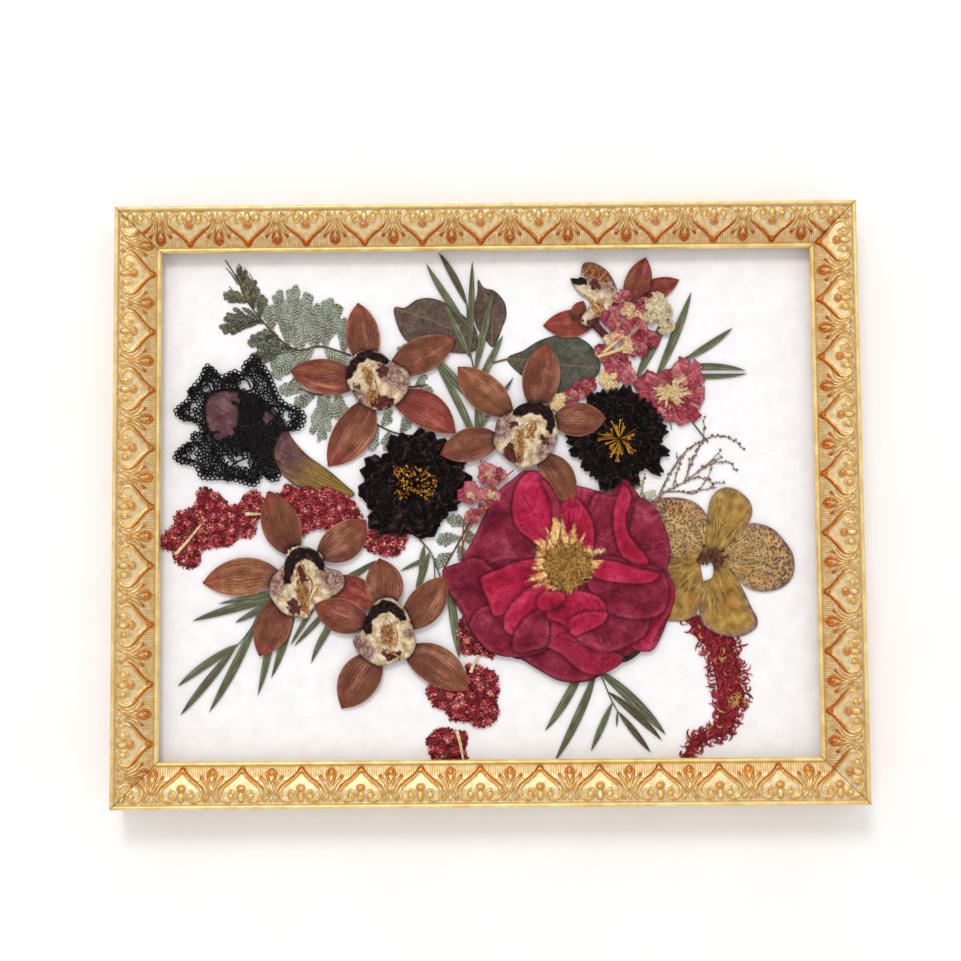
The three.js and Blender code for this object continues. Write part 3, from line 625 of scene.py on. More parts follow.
def add_lamp():
    """A round soft light above and in front, a little to the left."""
    lamp = bpy.data.lights.new("window", "AREA")
    lamp.shape = "DISK"
    lamp.size = LAMP_ACROSS
    lamp.energy = LAMP_POWER
    lamp.color = LAMP_COLOUR
    light = bpy.data.objects.new("window", lamp)
    bpy.context.scene.collection.objects.link(light)
    target = Vector((0, 0, -NOTCH_ABOVE_CENTRE * MM))
    light.location = target + LAMP_FROM
    light.rotation_euler = (target - light.location).to_track_quat("-Z", "Y").to_euler()


# ---- gilded moulding ----
# Section as in the solid: u from the outer edge in, v from the back to the front.
FACE_SECTION = [(0, 23.4), (0.4, 24.5), (1.2, 25), (2.0, 24.6), (2.5, 23.6), (3.0, 23.1), (5, 23.3),
                (9, 22.9), (14, 21.4), (18, 19.3), (21.2, 17.7), (21.6, 18.3), (22.3, 18.9), (23.0, 18.6),
                (23.5, 17.8)]
BAND_START, BAND_END = 3.1, 21.2     # the ornament's band
REPEAT = 30.7                        # one heart and one palmette
RIB_PITCH = 1.2
STROKE_H = 1.0
STEP_ALONG, STEP_ACROSS = RIB_PITCH / 3, 0.62  # between the mesh's points
MITRE_ROOM = 1.5                     # between the straight middle and the mitres

# The cast pattern's strokes: distance from the motif's middle, and u.
HEART = [(0, 20.0), (1.2, 18.3), (3.2, 16.1), (6.0, 13.9), (8.6, 11.9), (10.3, 9.8), (10.6, 7.4),
         (9.4, 5.2), (7.2, 4.2), (4.8, 4.6), (3.1, 6.2), (3.4, 8.2), (5.2, 8.9)]
PALMETTE_LOOP = [(0.35, 8.6), (0.5, 11.6), (1.0, 13.4), (1.9, 16.0), (1.8, 18.2), (0, 19.6)]
PALMETTE_LEAF = [(0.9, 8.6), (1.7, 11.0), (3.4, 13.6), (5.3, 15.6)]
PALMETTE_INNER = [(2.6, 8.4), (3.2, 10.4), (4.9, 12.5), (6.6, 13.6)]
PALMETTE_FOOT = [(0.8, 9.4), (1.3, 7.2), (2.4, 5.6), (3.6, 4.6)]
PALMETTE_ARM = [(1.6, 8.2), (2.8, 7.6), (3.9, 6.2)]


def bump_of(distance, radius, height):
    """Rounded ridge."""
    return height * np.sqrt(np.clip(1 - (distance / radius) ** 2, 0, 1))


def ornament(s, u):
    """Height in mm, red wash, gold and painted outline shade (0 to 1) of the moulding's cast pattern at (s,
    u).
    """
    a = np.mod(s + REPEAT / 2, REPEAT) - REPEAT / 2      # from the nearest heart
    b = np.abs(a)
    c = np.abs(REPEAT / 2 - b)                            # from the nearest palmette
    height, wash, painted_outline_shade = (np.zeros(np.shape(s)) for _ in range(3))
    near = np.full(np.shape(s), 9.0)
    outer = ease(-0.6, 0.8, u - np.interp(b, [0, 1.2, 3.2, 6, 8.6, 10.6],
                                          [20, 18.3, 16.1, 13.9, 11.9, 9.0]))
    # line, place across it, half width, height, where the red wash starts, part of a heart
    strokes = [(smooth_line(HEART, 3), b, 0.78, STROKE_H, 11.0, True),
               (smooth_line(PALMETTE_LOOP, 3), c, 0.55, 0.85, 13.5, False),
               (smooth_line(PALMETTE_LEAF, 3), c, 0.55, 0.75, 14.5, False),
               (smooth_line(PALMETTE_INNER, 3), c, 0.42, 0.5, 99.0, False),
               (smooth_line(PALMETTE_FOOT, 3), c, 0.6, 0.7, 99.0, False),
               (smooth_line(PALMETTE_ARM, 3), c, 0.5, 0.5, 99.0, False)]
    for line, x, radius, tall, wash_from, heart in strokes:
        d, _ = to_line(x, u, line)
        height = np.maximum(height, bump_of(d, radius, tall))
        # painted shade in the hollow beside each stroke, stronger on a heart's outer side
        beside = ease(radius + 0.8, radius + 0.1, d) * ease(radius * 0.35, radius * 0.95, d)
        side = 0.4 + 0.6 * outer if heart else 0.7
        painted_outline_shade = np.maximum(painted_outline_shade, beside * side)
        red = ease(wash_from - 2.0, wash_from + 1.5, u)
        wash = np.maximum(wash, ease(radius + 0.7, radius * 0.3, d) * red * (side if heart else 0.8))
        near = np.minimum(near, d - radius)
    # place across, its middle there and in u, half sizes, height, how red
    domes = [(b, 4.9, 6.7, 1.5, 1.5, 1.2, 0.1), (b, 0, 6.3, 1.5, 2.4, 1.15, 0.0),
             (b, 0, 10.4, 2.0, 1.7, 1.0, 0.58),
             (b, 0, 19.2, 1.7, 1.5, 1.2, 1.0), (c, 0, 18.2, 1.3, 1.7, 0.8, 1.0),
             (c, 5.4, 15.9, 0.85, 0.85, 0.8, 0.9),
             (c, 0, 4.4, 0.7, 1.0, 0.7, 0.2), (c, 2.9, 4.3, 0.7, 0.7, 0.7, 0.1),
             (b, 0, 4.0, 1.1, 0.6, 0.5, 0.1)]
    for x, cx, cu, rx, ru, tall, red in domes:
        d = np.hypot((x - cx) / rx, (u - cu) / ru)
        height = np.maximum(height, bump_of(d, 1, tall))
        wash = np.maximum(wash, red * ease(1.2, 0.7, d))
        # painted shade in a ring round each dome
        painted_outline_shade = np.maximum(painted_outline_shade, 0.75 * ease(1.5, 1.1, d) * ease(0.75, 1.0, d))
        near = np.minimum(near, (d - 1) * ru)
    ribs = 0.5 + 0.5 * np.cos(2 * np.pi * s / RIB_PITCH)
    rib_zone = ease(14.8, 16.4, u) * ease(21.3, 21.0, u) * ease(0.0, 0.6, near) * outer
    height = np.maximum(height, 0.34 * ribs * rib_zone)
    # painted shade between the ribs
    painted_outline_shade = np.maximum(painted_outline_shade, 0.75 * (1 - ribs) * rib_zone)
    fade = ease(BAND_START - 0.2, BAND_START + 0.5, u) * ease(21.3, BAND_END - 0.1, u)
    gold = np.clip(height / 0.6, 0, 1)
    return height * fade, np.clip(wash * fade, 0, 1), np.clip(gold * fade, 0,
                                                              1), np.clip(painted_outline_shade * fade, 0, 1)


def rail_section():
    """The closed section: u and v of its points, and which of them are on the face."""
    us = np.concatenate([[0, 0.15, 0.5, 0.9, 1.3, 1.8, 2.2, 2.5, 2.8],
                         np.linspace(BAND_START, BAND_END, int((BAND_END - BAND_START) / STEP_ACROSS)),
                         [21.45, 21.8, 22.2, 22.6, 23.0, 23.3, 23.5]])
    vs = np.interp(us, *zip(*FACE_SECTION))
    loop_u = np.concatenate([us, [23.5, 16.7, 16.7, 0.4, 0.0, 0.0]])
    loop_v = np.concatenate([vs, [15.0, 15.0, 0.0, 0.0, 0.4, 22.6]])
    return loop_u, loop_v, np.arange(len(loop_u)) < len(us)


def rail_places(length, mitre):
    """Places along a rail for each point of the section: even in the middle, drawn to the mitres."""
    steps = int((length / 2 - RAIL_W - MITRE_ROOM) / STEP_ALONG)
    middle = steps * STEP_ALONG
    straight = np.arange(-steps, steps + 1) * STEP_ALONG
    reach = np.linspace(0, 1, int((RAIL_W + MITRE_ROOM) / STEP_ALONG) + 1)[1:]
    left = -(middle + (mitre[None, :] - middle) * reach[::-1, None])
    right = middle + (mitre[None, :] - middle) * reach[:, None]
    return np.concatenate([left, np.repeat(straight[:, None], len(mitre), 1), right])


def add_rail(name, length, half_across, turn, first_heart, redness_painted_shade):
    """One mitred rail. turn maps (s, out) to the picture plane; first_heart is a heart's place along it."""
    loop_u, loop_v, on_face = rail_section()
    mitre = length / 2 - loop_u - MITRE_GAP * math.sqrt(0.5)
    s = rail_places(length, mitre)
    u = np.broadcast_to(loop_u, s.shape)
    nearest_rib = round(first_heart / RIB_PITCH) * RIB_PITCH
    values = ornament(s - nearest_rib, u)
    height, wash, gold, painted_outline_shade = (np.where(on_face, value, 0) for value in values)
    wobble = (noise(s, u, 5, 3) - 0.5) * 0.10 * on_face
    v = loop_v + height + wobble
    lip = np.maximum(ease(2.4, 1.6, u), ease(21.1, 21.6, u)) * on_face
    joint = ease(0.55, 0.1, np.broadcast_to(mitre, s.shape) - np.abs(s)) * on_face
    # groove: painted shade in the grooves beside the two lips
    groove = np.maximum(ease(0.55, 0.2, np.abs(u - 2.75)), ease(0.3, 0.1, np.abs(u - 21.3))) * on_face
    n, m = s.shape
    x, z = turn(s, half_across - u)
    points = np.stack([x, RAIL_BACK_Y - v, z], -1).reshape(-1, 3)
    caps = []
    for row in (0, n - 1):
        ring = [row * m + j for j in range(m)]
        flat = [Vector((loop_u[j], loop_v[j], 0)) for j in range(m)]
        caps.append([tuple(ring[k] for k in t) for t in tessellate_polygon([flat])])
    quads = grid_faces(n, m, closed_m=True)
    tris = orient_caps(points, quads, caps)
    piece = Piece(name + "_carved")
    # kind: how red and dark the wash is on this rail, which differs between the rails only as painted light
    # and shade
    piece.add(points, quads, tris, along=wash.ravel(), across=lip.ravel(), kind=redness_painted_shade,
              tone=gold.ravel(),
              # mark: painted shade beside the relief, between the ribs and in the grooves, and the dark
              # mitre joint
              mark=np.maximum(np.maximum(painted_outline_shade, 0.35 * groove), 0.9 * joint).ravel())
    return piece


def orient_caps(points, quads, caps):
    """End faces turned so that each edge runs against its neighbour's."""
    edges = {(int(q[i]), int(q[(i + 1) % 4])) for q in quads for i in range(4)
             if min(q) < len(points) * 0.02 or max(q) > len(points) * 0.98}
    tris = []
    for cap in caps:
        same = sum((t[i], t[(i + 1) % 3]) in edges for t in cap for i in range(3))
        tris += [t[::-1] for t in cap] if same else cap
    return tris


def bare_wood(f):
    """Where a rail's back is left ungilded, and the wood's colour there."""
    depth = f.node("ShaderNodeSeparateXYZ")
    f.link(f.where, depth.inputs["Vector"])
    ragged = f.plus(depth.outputs["Y"], f.times(f.noise(4, 3), 0.002))
    bare = f.band(ragged, -0.0068, -0.0050)
    grain = f.node("ShaderNodeMapping")
    f.link(f.where, grain.inputs["Vector"])
    grain.inputs["Scale"].default_value = (1, 6, 6)
    wood = f.ramp(f.noise(3.0, 5, 0.6, 0.6, grain.outputs["Vector"]), (0.2, (150, 108, 66)),
                  (0.5, (192, 150, 102)), (0.8, (214, 178, 130)))
    return bare, wood


def gilt_finish():
    f = Finish("gilt_leaf", Specular_IOR_Level=0.3)
    # red: how red and dark the wash is on this rail; it differs between the four rails only as painted
    # light and shade
    wash, lip, red, gold, line = (f.value(v) for v in ("along", "across", "kind", "tone", "mark"))
    patina = f.noise(2.6, 4, 0.6)
    field = f.ramp(patina, (0.2, (212, 184, 130)), (0.5, (224, 199, 148)), (0.8, (233, 214, 170)))
    ridge = f.ramp(patina, (0.2, (214, 160, 72)), (0.5, (242, 200, 116)), (0.8, (255, 236, 180)))
    surface = f.mix(gold, field, ridge)
    band = f.ramp(f.noise(9, 3), (0.2, (232, 190, 108)), (0.8, (254, 230, 158)))
    surface = f.mix(lip, surface, band)
    # painted shade: dark brown laid where line is high, beside the relief; line also holds the dark mitre
    # joint
    painted_recess_shade = f.mix(red, (166, 110, 50), (138, 70, 14))
    surface = f.tint(surface, painted_recess_shade, line, 0.85)
    glow = f.mix(red, (222, 136, 16), (202, 94, 8))
    warm = f.times(f.band(wash, 0.1, 0.7), f.band(f.noise(1.2, 2), 0.05, 0.4))
    surface = f.tint(surface, glow, warm, f.scaled(red, 0.25, 0.7))
    # painted shade: near-black brown where the red wash meets the painted outline
    deep = f.times(f.times(wash, line), f.band(f.noise(2.6, 2), 0.2, 0.5))
    surface = f.mix(deep, surface, (84, 26, 0))
    bare, wood = bare_wood(f)
    f.colour(f.mix(bare, surface, wood))
    painted = f.scaled(wash, 0.35, 0.5)
    painted = f.times(painted, f.minus(1.0, bare))
    f.link(f.minus(painted, f.times(line, 0.3), clamp=True), f.shader.inputs["Metallic"])
    f.roughness(f.plus(f.times(f.noise(1.4, 3), 0.16), f.scaled(bare, 0.35, 0.28)))
    f.bump(f.noise(0.5, 4, 0.6), 0.04)
    return f.material


# A heart's place along each rail, from the rail's middle.
HEART_PLACES = {"top": -2.2, "bottom": -5.0, "left": -1.6, "right": 13.4}


def add_rails():
    gilt = gilt_finish()
    outer_w, outer_h = SIGHT_W + 2 * RAIL_W, SIGHT_H + 2 * RAIL_W
    # each rail: length, half of the frame across it, its turn, and how red and dark its wash is, as painted
    # light and shade: most on the top rail, least on the bottom
    rails = {
        "top": (outer_w, outer_h / 2, lambda s, out: (s, out), 1.0),
        "bottom": (outer_w, outer_h / 2, lambda s, out: (s, -out), 0.35),
        "left": (outer_h, outer_w / 2, lambda s, out: (-out, s), 0.45),
        "right": (outer_h, outer_w / 2, lambda s, out: (out, s), 0.85),
    }
    for side, (length, half, turn, red) in rails.items():
        node = "rail_" + side
        add_rail(node, length, half, turn, HEART_PLACES[side], red).make(gilt, "gilt", node, angle=60)


# ---- glass, card, back board and fittings: the solids, with their finishes ----
GLASS_IOR = 1.04                     # low: the pane hardly mirrors the room


def finish_node(node, finish):
    """Gives a solid of the frame its finish."""
    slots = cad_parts[node].data.materials
    if len(slots):
        slots[0] = finish
    else:
        slots.append(finish)


def glass_finish():
    f = Finish("picture_glass", Roughness=0.0, IOR=GLASS_IOR, Transmission_Weight=1.0)
    f.colour(srgb((252, 254, 253)))
    clear = f.node("ShaderNodeBsdfTransparent")
    pick = f.node("ShaderNodeMixShader")
    f.link(f.node("ShaderNodeLightPath").outputs["Is Camera Ray"], pick.inputs[0])
    f.link(clear.outputs["BSDF"], pick.inputs[1])
    f.link(f.shader.outputs["BSDF"], pick.inputs[2])
    f.link(pick.outputs["Shader"], f.tree.nodes["Material Output"].inputs["Surface"])
    return f.material


def card_finish():
    f = Finish("mount_board", Roughness=0.95, Specular_IOR_Level=0.15)
    f.colour(f.ramp(f.noise(9, 4, 0.6), (0.25, (243, 240, 242)), (0.75, (249, 247, 249))))
    f.bump(f.noise(0.35, 3), 0.02)
    return f.material


def board_finish():
    f = Finish("hardboard", Roughness=0.85, Specular_IOR_Level=0.2)
    fibre = f.noise(1.2, 6, 0.7, 1.2)
    flecks = f.band(f.noise(0.6, 2), 0.62, 0.7)
    base = f.ramp(fibre, (0.3, (104, 72, 44)), (0.5, (134, 98, 62)), (0.72, (160, 122, 82)))
    f.colour(f.tint(base, (84, 56, 34), flecks, 0.5))
    f.bump(f.noise(0.8, 5, 0.7), 0.12)
    return f.material


def steel_finish():
    f = Finish("zinc_steel", Metallic=0.9)
    f.colour(f.ramp(f.noise(1.6, 3), (0.3, (150, 150, 146)), (0.7, (196, 196, 192))))
    f.roughness(f.scaled(f.noise(0.9, 4), 0.3, 0.28))
    f.bump(f.noise(0.6, 3), 0.03)
    return f.material


def bumper_finish():
    f = Finish("felt_bumper", Roughness=0.95)
    f.colour(f.ramp(f.noise(0.5, 4, 0.7), (0.3, (62, 56, 50)), (0.7, (98, 90, 82))))
    f.bump(f.noise(0.3, 4), 0.1)
    return f.material


def finish_solids():
    finish_node("glass_pane", glass_finish())
    finish_node("mount_card", card_finish())
    finish_node("back_board", board_finish())
    steel, felt = steel_finish(), bumper_finish()
    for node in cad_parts:
        if node.startswith(("tab_", "hanger")):
            finish_node(node, steel)
        if node.startswith("bumper"):
            finish_node(node, felt)


# ---- pressed flowers: shared shapes ----
def blade_outline(base, tip, width, bow, blunt=0.02):
    x, z, *_ = blade_rows(base, tip, width, bow, 16, 3, blunt=blunt)
    return list(zip(x[:, 0], z[:, 0])) + list(zip(x[::-1, -1], z[::-1, -1]))


def add_petal(piece, base, tip, width, bow, back, n=34, m=15, drop=0.0, relief=0.22, waves=0.16,
              groove=0.0,
              ribs=0.0, rib_count=6, blunt=0.02, ruffle=0.0, above=(), seed=0, **values):
    """A petal or leaf from base to tip. It sinks by drop towards the card at its tip."""
    n, m = max(int(n / FINE), 8), max(int(m / FINE) | 1, 5)
    x, z, t, s, half = blade_rows(base, tip, width, bow, n, m, blunt=blunt)
    if ruffle:
        middle_x, middle_z = x.mean(1, keepdims=True), z.mean(1, keepdims=True)
        grow = 1 + ruffle * 2 * (rough_noise(t * 6, s * 1.5, 1, seed) - 0.5)
        x, z = middle_x + (x - middle_x) * grow, middle_z + (z - middle_z) * grow
    body = np.clip(1 - s ** 2, 0, 1)
    lift = relief * np.sqrt(body) * np.clip(half / (0.3 * width + 0.01), 0, 1)[:, None]
    lift = lift + waves * (rough_noise(x, z, max(width * 0.45, 2.5), seed) - 0.5) * 2 * body
    lift = lift - groove * np.exp(-(s / 0.14) ** 2) + ribs * np.cos(2 * np.pi * rib_count * s) * body
    rows = back + drop * t[:, 0] ** 2
    y = rows[:, None] - np.maximum(SHEET_T + lift, 0.08)
    if above:
        values["shade"] = shade_under(x, z, above)
    add_strip(piece, x, z, y, rows, along=t, across=s, **values)


def add_sheet(piece, outline, back, spacing, values, relief=0.2, waves=0.2, wave_size=5.0, seed=0,
              rise=None,
              above=()):
    """A flat dry sheet of any outline. values(x, z, edge) gives its values; rise(x, z) adds height."""
    def shape(x, z, edge):
        within = ease(0, 2.0, edge)
        lift = SHEET_T + relief * within + waves * (rough_noise(x, z, wave_size, seed) - 0.5) * 2 * within
        if rise is not None:
            lift = lift + rise(x, z)
        given = values(x, z, edge)
        if above:
            given["shade"] = shade_under(x, z, above)
        return back - np.maximum(lift, 0.08), given
    add_patch(piece, outline, spacing * FINE, shape, back, seed)


def add_grain(piece, x, y, z, radius, flat, rng, **values):
    """A small rounded seed or anther: a squashed ball of 18 points."""
    turn = Matrix.Rotation(rng.uniform(0, 6.28), 3, "Y") @ Matrix.Rotation(rng.uniform(0, 6.28), 3, "X")
    points = GRAIN_POINTS @ np.array(turn) * radius * rng.uniform(0.85, 1.15, (len(GRAIN_POINTS), 1))
    points[:, 1] *= flat
    tone = values.pop("tone", 0.5)
    piece.add(points + [x, y, z], (), GRAIN_TRIS, tone=tone, across=-GRAIN_POINTS[:, 1], **values)


def grain_shape():
    """A ball of 18 points: an octahedron with each face split in four."""
    corners = [(1, 0, 0), (-1, 0, 0), (0, 1, 0), (0, -1, 0), (0, 0, 1), (0, 0, -1)]
    faces = [(0, 2, 4), (2, 1, 4), (1, 3, 4), (3, 0, 4), (2, 0, 5), (1, 2, 5), (3, 1, 5), (0, 3, 5)]
    points, middles, tris = [np.array(c, float) for c in corners], {}, []
    for face in faces:
        mids = []
        for a, b in zip(face, face[1:] + face[:1]):
            key = (min(a, b), max(a, b))
            if key not in middles:
                middles[key] = len(points)
                middle = points[a] + points[b]
                points.append(middle / np.linalg.norm(middle))
            mids.append(middles[key])
        (a, b, c), (p, q, r) = face, mids
        tris += [(a, p, r), (p, b, q), (r, q, c), (p, q, r)]
    return np.array(points), np.array(tris)


GRAIN_POINTS, GRAIN_TRIS = grain_shape()


def scatter(outline, spacing, rng, tries=30):
    """Random places inside an outline, no two nearer than spacing."""
    points = np.array(outline, float)
    low, high = points.min(0), points.max(0)
    count = int((high - low).prod() / spacing ** 2 * tries / 3)
    tested = rng.uniform(low, high, (count, 2))
    tested = tested[inside(tested[:, 0], tested[:, 1], [tuple(p) for p in outline])]
    cells, kept = {}, []
    for x, z in tested:
        cell = (int(x // spacing), int(z // spacing))
        near = [cells.get((cell[0] + i, cell[1] + j), []) for i in (-1, 0, 1) for j in (-1, 0, 1)]
        if all((x - q[0]) ** 2 + (z - q[1]) ** 2 > spacing ** 2 for group in near for q in group):
            cells.setdefault(cell, []).append((x, z))
            kept.append((x, z))
    return kept


# ---- cymbidium orchids ----
# tepals: base, tip, width, bow and how far the tip sinks to the card. The lip has an outline, a dark
# hood, maroon splotches, mauve areas and golden keels.
ORCHIDS = [
    {"layer": 4,
     "tepals": [((-63, 72), (-68, 107), 18, 0, 1.6), ((-66, 64), (-104, 71), 19, 0, 1.2),
                ((-61, 56), (-84, 20), 21, 2, 1.6), ((-52, 70), (-16.5, 87), 19, 0, 0.5),
                ((-51, 57), (-16.5, 37), 19, 3, 0.1)],
     "tones": [0.55, 0.3, 0.35, 0.6, 0.15],
     "lip": [(-74, 66), (-72, 76), (-66, 81), (-56, 80), (-50, 75), (-42, 70), (-41, 62), (-46, 54),
             (-56, 49), (-66, 53), (-71, 59)],
     "hood": [(-75.5, 65), (-74.5, 71), (-71.5, 76.5), (-67, 80.5), (-61, 81.5), (-55, 79.5), (-51, 76),
              (-53, 73), (-58, 75), (-63, 76.5), (-67, 74), (-69.5, 70), (-71.5, 66.5)],
     "splotches": [[(-58, 58), (-53, 57), (-49, 55), (-50, 51), (-56, 49.5), (-61, 51)],
                   [(-57, 73), (-53, 72), (-52, 69), (-56, 67), (-59, 69)],
                   [(-70, 63), (-67, 64), (-67, 61), (-70, 60)]],
     "mauve": [((-50, 69), 7), ((-46, 64), 6), ((-67, 55), 6)],
     "keels": [[(-66, 71), (-63, 66), (-61, 60), (-60, 53)], [(-64, 74), (-60, 68), (-58, 61), (-58, 53)],
               [(-61, 63), (-63, 58), (-62, 52), (-58, 50)]],
     "brown": [[(-66, 72), (-63, 73), (-60, 67), (-61, 61), (-64, 64)],
               [(-62, 60), (-58, 60), (-58, 50), (-62, 51)]]},
    {"layer": 5,
     "tepals": [((14, 46), (-15, 72), 19, 1, 0.3), ((26, 48), (32, 84), 20, 0, 0.8),
                ((34, 43), (63, 44), 18, 0, 0.1),
                ((8, 34), (-24.5, 25.5), 18, -1, 0.1), ((27, 26), (44.5, -1), 17, 2, 0.0)],
     "tones": [0.75, 0.45, 0.5, 0.45, 0.5],
     "lip": [(4, 36), (6, 44), (13, 48), (19, 52), (28, 53), (34, 49), (37, 41), (37, 33), (32, 24),
             (24, 19), (17, 18), (9, 24), (4, 30)],
     "hood": [(13.5, 46.5), (16, 51), (21, 53.5), (27, 53.5), (32, 51.5), (35.5, 47), (36.5, 41),
              (34, 35.5), (31.5, 38), (31.5, 43), (28, 46), (22, 47), (18, 45)],
     "splotches": [[(8, 28), (12, 32), (15, 28), (17, 23), (14, 20), (10, 23)],
                   [(27, 35), (31, 36), (32, 31), (29, 30)], [(12, 42), (16, 43), (17, 40), (13, 40)]],
     "mauve": [((7, 38), 7), ((9, 44), 6), ((31, 26), 6), ((35, 32), 4)],
     "keels": [[(24, 43), (20, 39), (18, 33), (19, 27), (19, 21)], [(26, 42), (23, 37), (20, 34)],
               [(17, 38), (16, 31), (17, 24)], [(15, 36), (14.5, 30), (16, 23)]],
     "brown": [[(16, 38), (20, 38), (19, 20), (16, 20)], [(20, 33), (25, 34), (27, 42), (23, 41)]]},
    {"layer": 4,
     "tepals": [((-101, -28), (-115, 7), 20, 1, 0.2), ((-90, -28), (-64, -9), 20, -2, 0.2),
                ((-108, -37), (-150, -41), 20, -1, 1.6), ((-108, -48), (-120, -79.5), 19, 1, 0.9),
                ((-84, -41), (-58, -53), 18, 0, 0.1)],
     "tones": [0.35, 0.4, 0.85, 0.5, 0.1],
     "lip": [(-115, -46), (-113, -38), (-107, -31), (-105, -23), (-97, -22), (-88, -26), (-85, -33),
             (-77, -36), (-76, -44), (-84, -50), (-92, -55), (-95, -60), (-106, -58), (-112, -52)],
     "hood": [(-107, -42), (-107.5, -34), (-105.5, -27), (-102, -23), (-96, -22.5), (-89, -25.5),
              (-85.5, -30), (-86, -35), (-89, -35), (-91, -31), (-96, -29), (-100, -31), (-102.5, -36),
              (-103.5, -41.5)],
     "splotches": [[(-106, -51), (-101, -50), (-98, -54), (-99, -58), (-104, -57)],
                   [(-101, -34), (-97, -33), (-95, -40), (-99, -42)]],
     "mauve": [((-112, -43), 6), ((-109, -40), 5), ((-81, -40), 7), ((-85, -37), 5)],
     "keels": [[(-99, -29), (-96, -36), (-92.5, -41), (-93, -47), (-96, -51)],
               [(-101, -33), (-99, -40), (-98, -47)],
               [(-97, -46), (-95, -52), (-93.5, -59)], [(-89, -44), (-92, -49), (-95, -55)]],
     "brown": [[(-101, -40), (-97, -38), (-94, -46), (-94, -59), (-98, -56), (-100, -48)]]},
    {"layer": 5,
     "tepals": [((-52, -56), (-57, -29), 20, 0, 1.4), ((-45, -66), (-22, -39), 19, -1, 0.3),
                ((-45, -76), (-10.5, -98), 20, 2, 0.9), ((-57, -78), (-77, -107), 21, -1, 1.8),
                ((-62, -63), (-91, -53), 18, 1, 0.1)],
     "tones": [0.4, 0.65, 0.6, 0.5, 0.3],
     "lip": [(-71, -72), (-66, -66), (-63, -58), (-58, -51), (-50, -50), (-43, -57), (-40, -64),
             (-38, -73), (-41, -80), (-48, -83), (-57, -85), (-66, -80)],
     "hood": [(-66.5, -66), (-65, -60), (-61, -54), (-55, -50.5), (-49, -51.5), (-44.5, -56),
              (-42.5, -61.5), (-46, -61.5), (-51, -57.5), (-56, -57.5), (-60.5, -61.5), (-61, -68),
              (-64, -69)],
     "splotches": [[(-56, -77), (-51, -78), (-45, -77), (-46, -81), (-52, -82.5), (-56, -80)]],
     "mauve": [((-68, -74), 6), ((-64, -78), 5), ((-42, -68), 3)],
     "keels": [[(-55, -62), (-54, -68), (-56, -74)], [(-52, -61), (-50, -66), (-49, -72), (-52, -76)],
               [(-49, -64), (-47.5, -70), (-49, -75)], [(-57, -76), (-51, -78), (-46, -81)]],
     "brown": [[(-56, -65), (-52, -63), (-49, -70), (-51, -76), (-56, -73)]]},
    {"layer": 2,
     "tepals": [((75, 105), (85.5, 130), 14, -1, 0.4), ((76, 107), (103, 118), 12, 0, 0.4),
                ((60, 98), (30.5, 94), 15, 1, 0.5), ((47, 97), (52, 107), 8, 0, 0.2),
                ((62, 101), (80, 109), 8, 0, 0.1)],
     "tones": [0.25, 0.15, 0.1, 0.2, 0.0],
     "lip": [(45, 119), (50, 119.5), (52, 127), (58, 127.5), (65, 123), (69, 116), (70, 110), (64, 100),
             (60, 96), (66, 88), (63, 86), (57, 92), (50, 96), (55, 104), (56, 108), (50, 111)],
     "hood": [(45, 119), (50, 119.6), (54, 118.5), (54, 116), (50, 115), (47, 116.5)],
     "splotches": [[(55, 116), (57, 113), (60, 113), (61, 116), (57, 118)],
                   [(51, 97), (60, 97), (66, 88), (62, 86)]],
     "mauve": [((60, 121), 9), ((66, 115), 5), ((56, 125), 6), ((60, 94), 7)],
     "keels": [[(54, 109), (57, 105), (59, 99)], [(52, 110), (56, 108), (60, 103), (63, 98)]],
     "brown": [[(52, 120), (52, 127), (58, 127.5), (65, 123), (68, 118), (62, 116), (57, 119)],
               [(56, 104), (62, 106), (64, 99), (60, 96)]]},
]
HOOD_RISE = 0.22
KEEL_R = 0.5


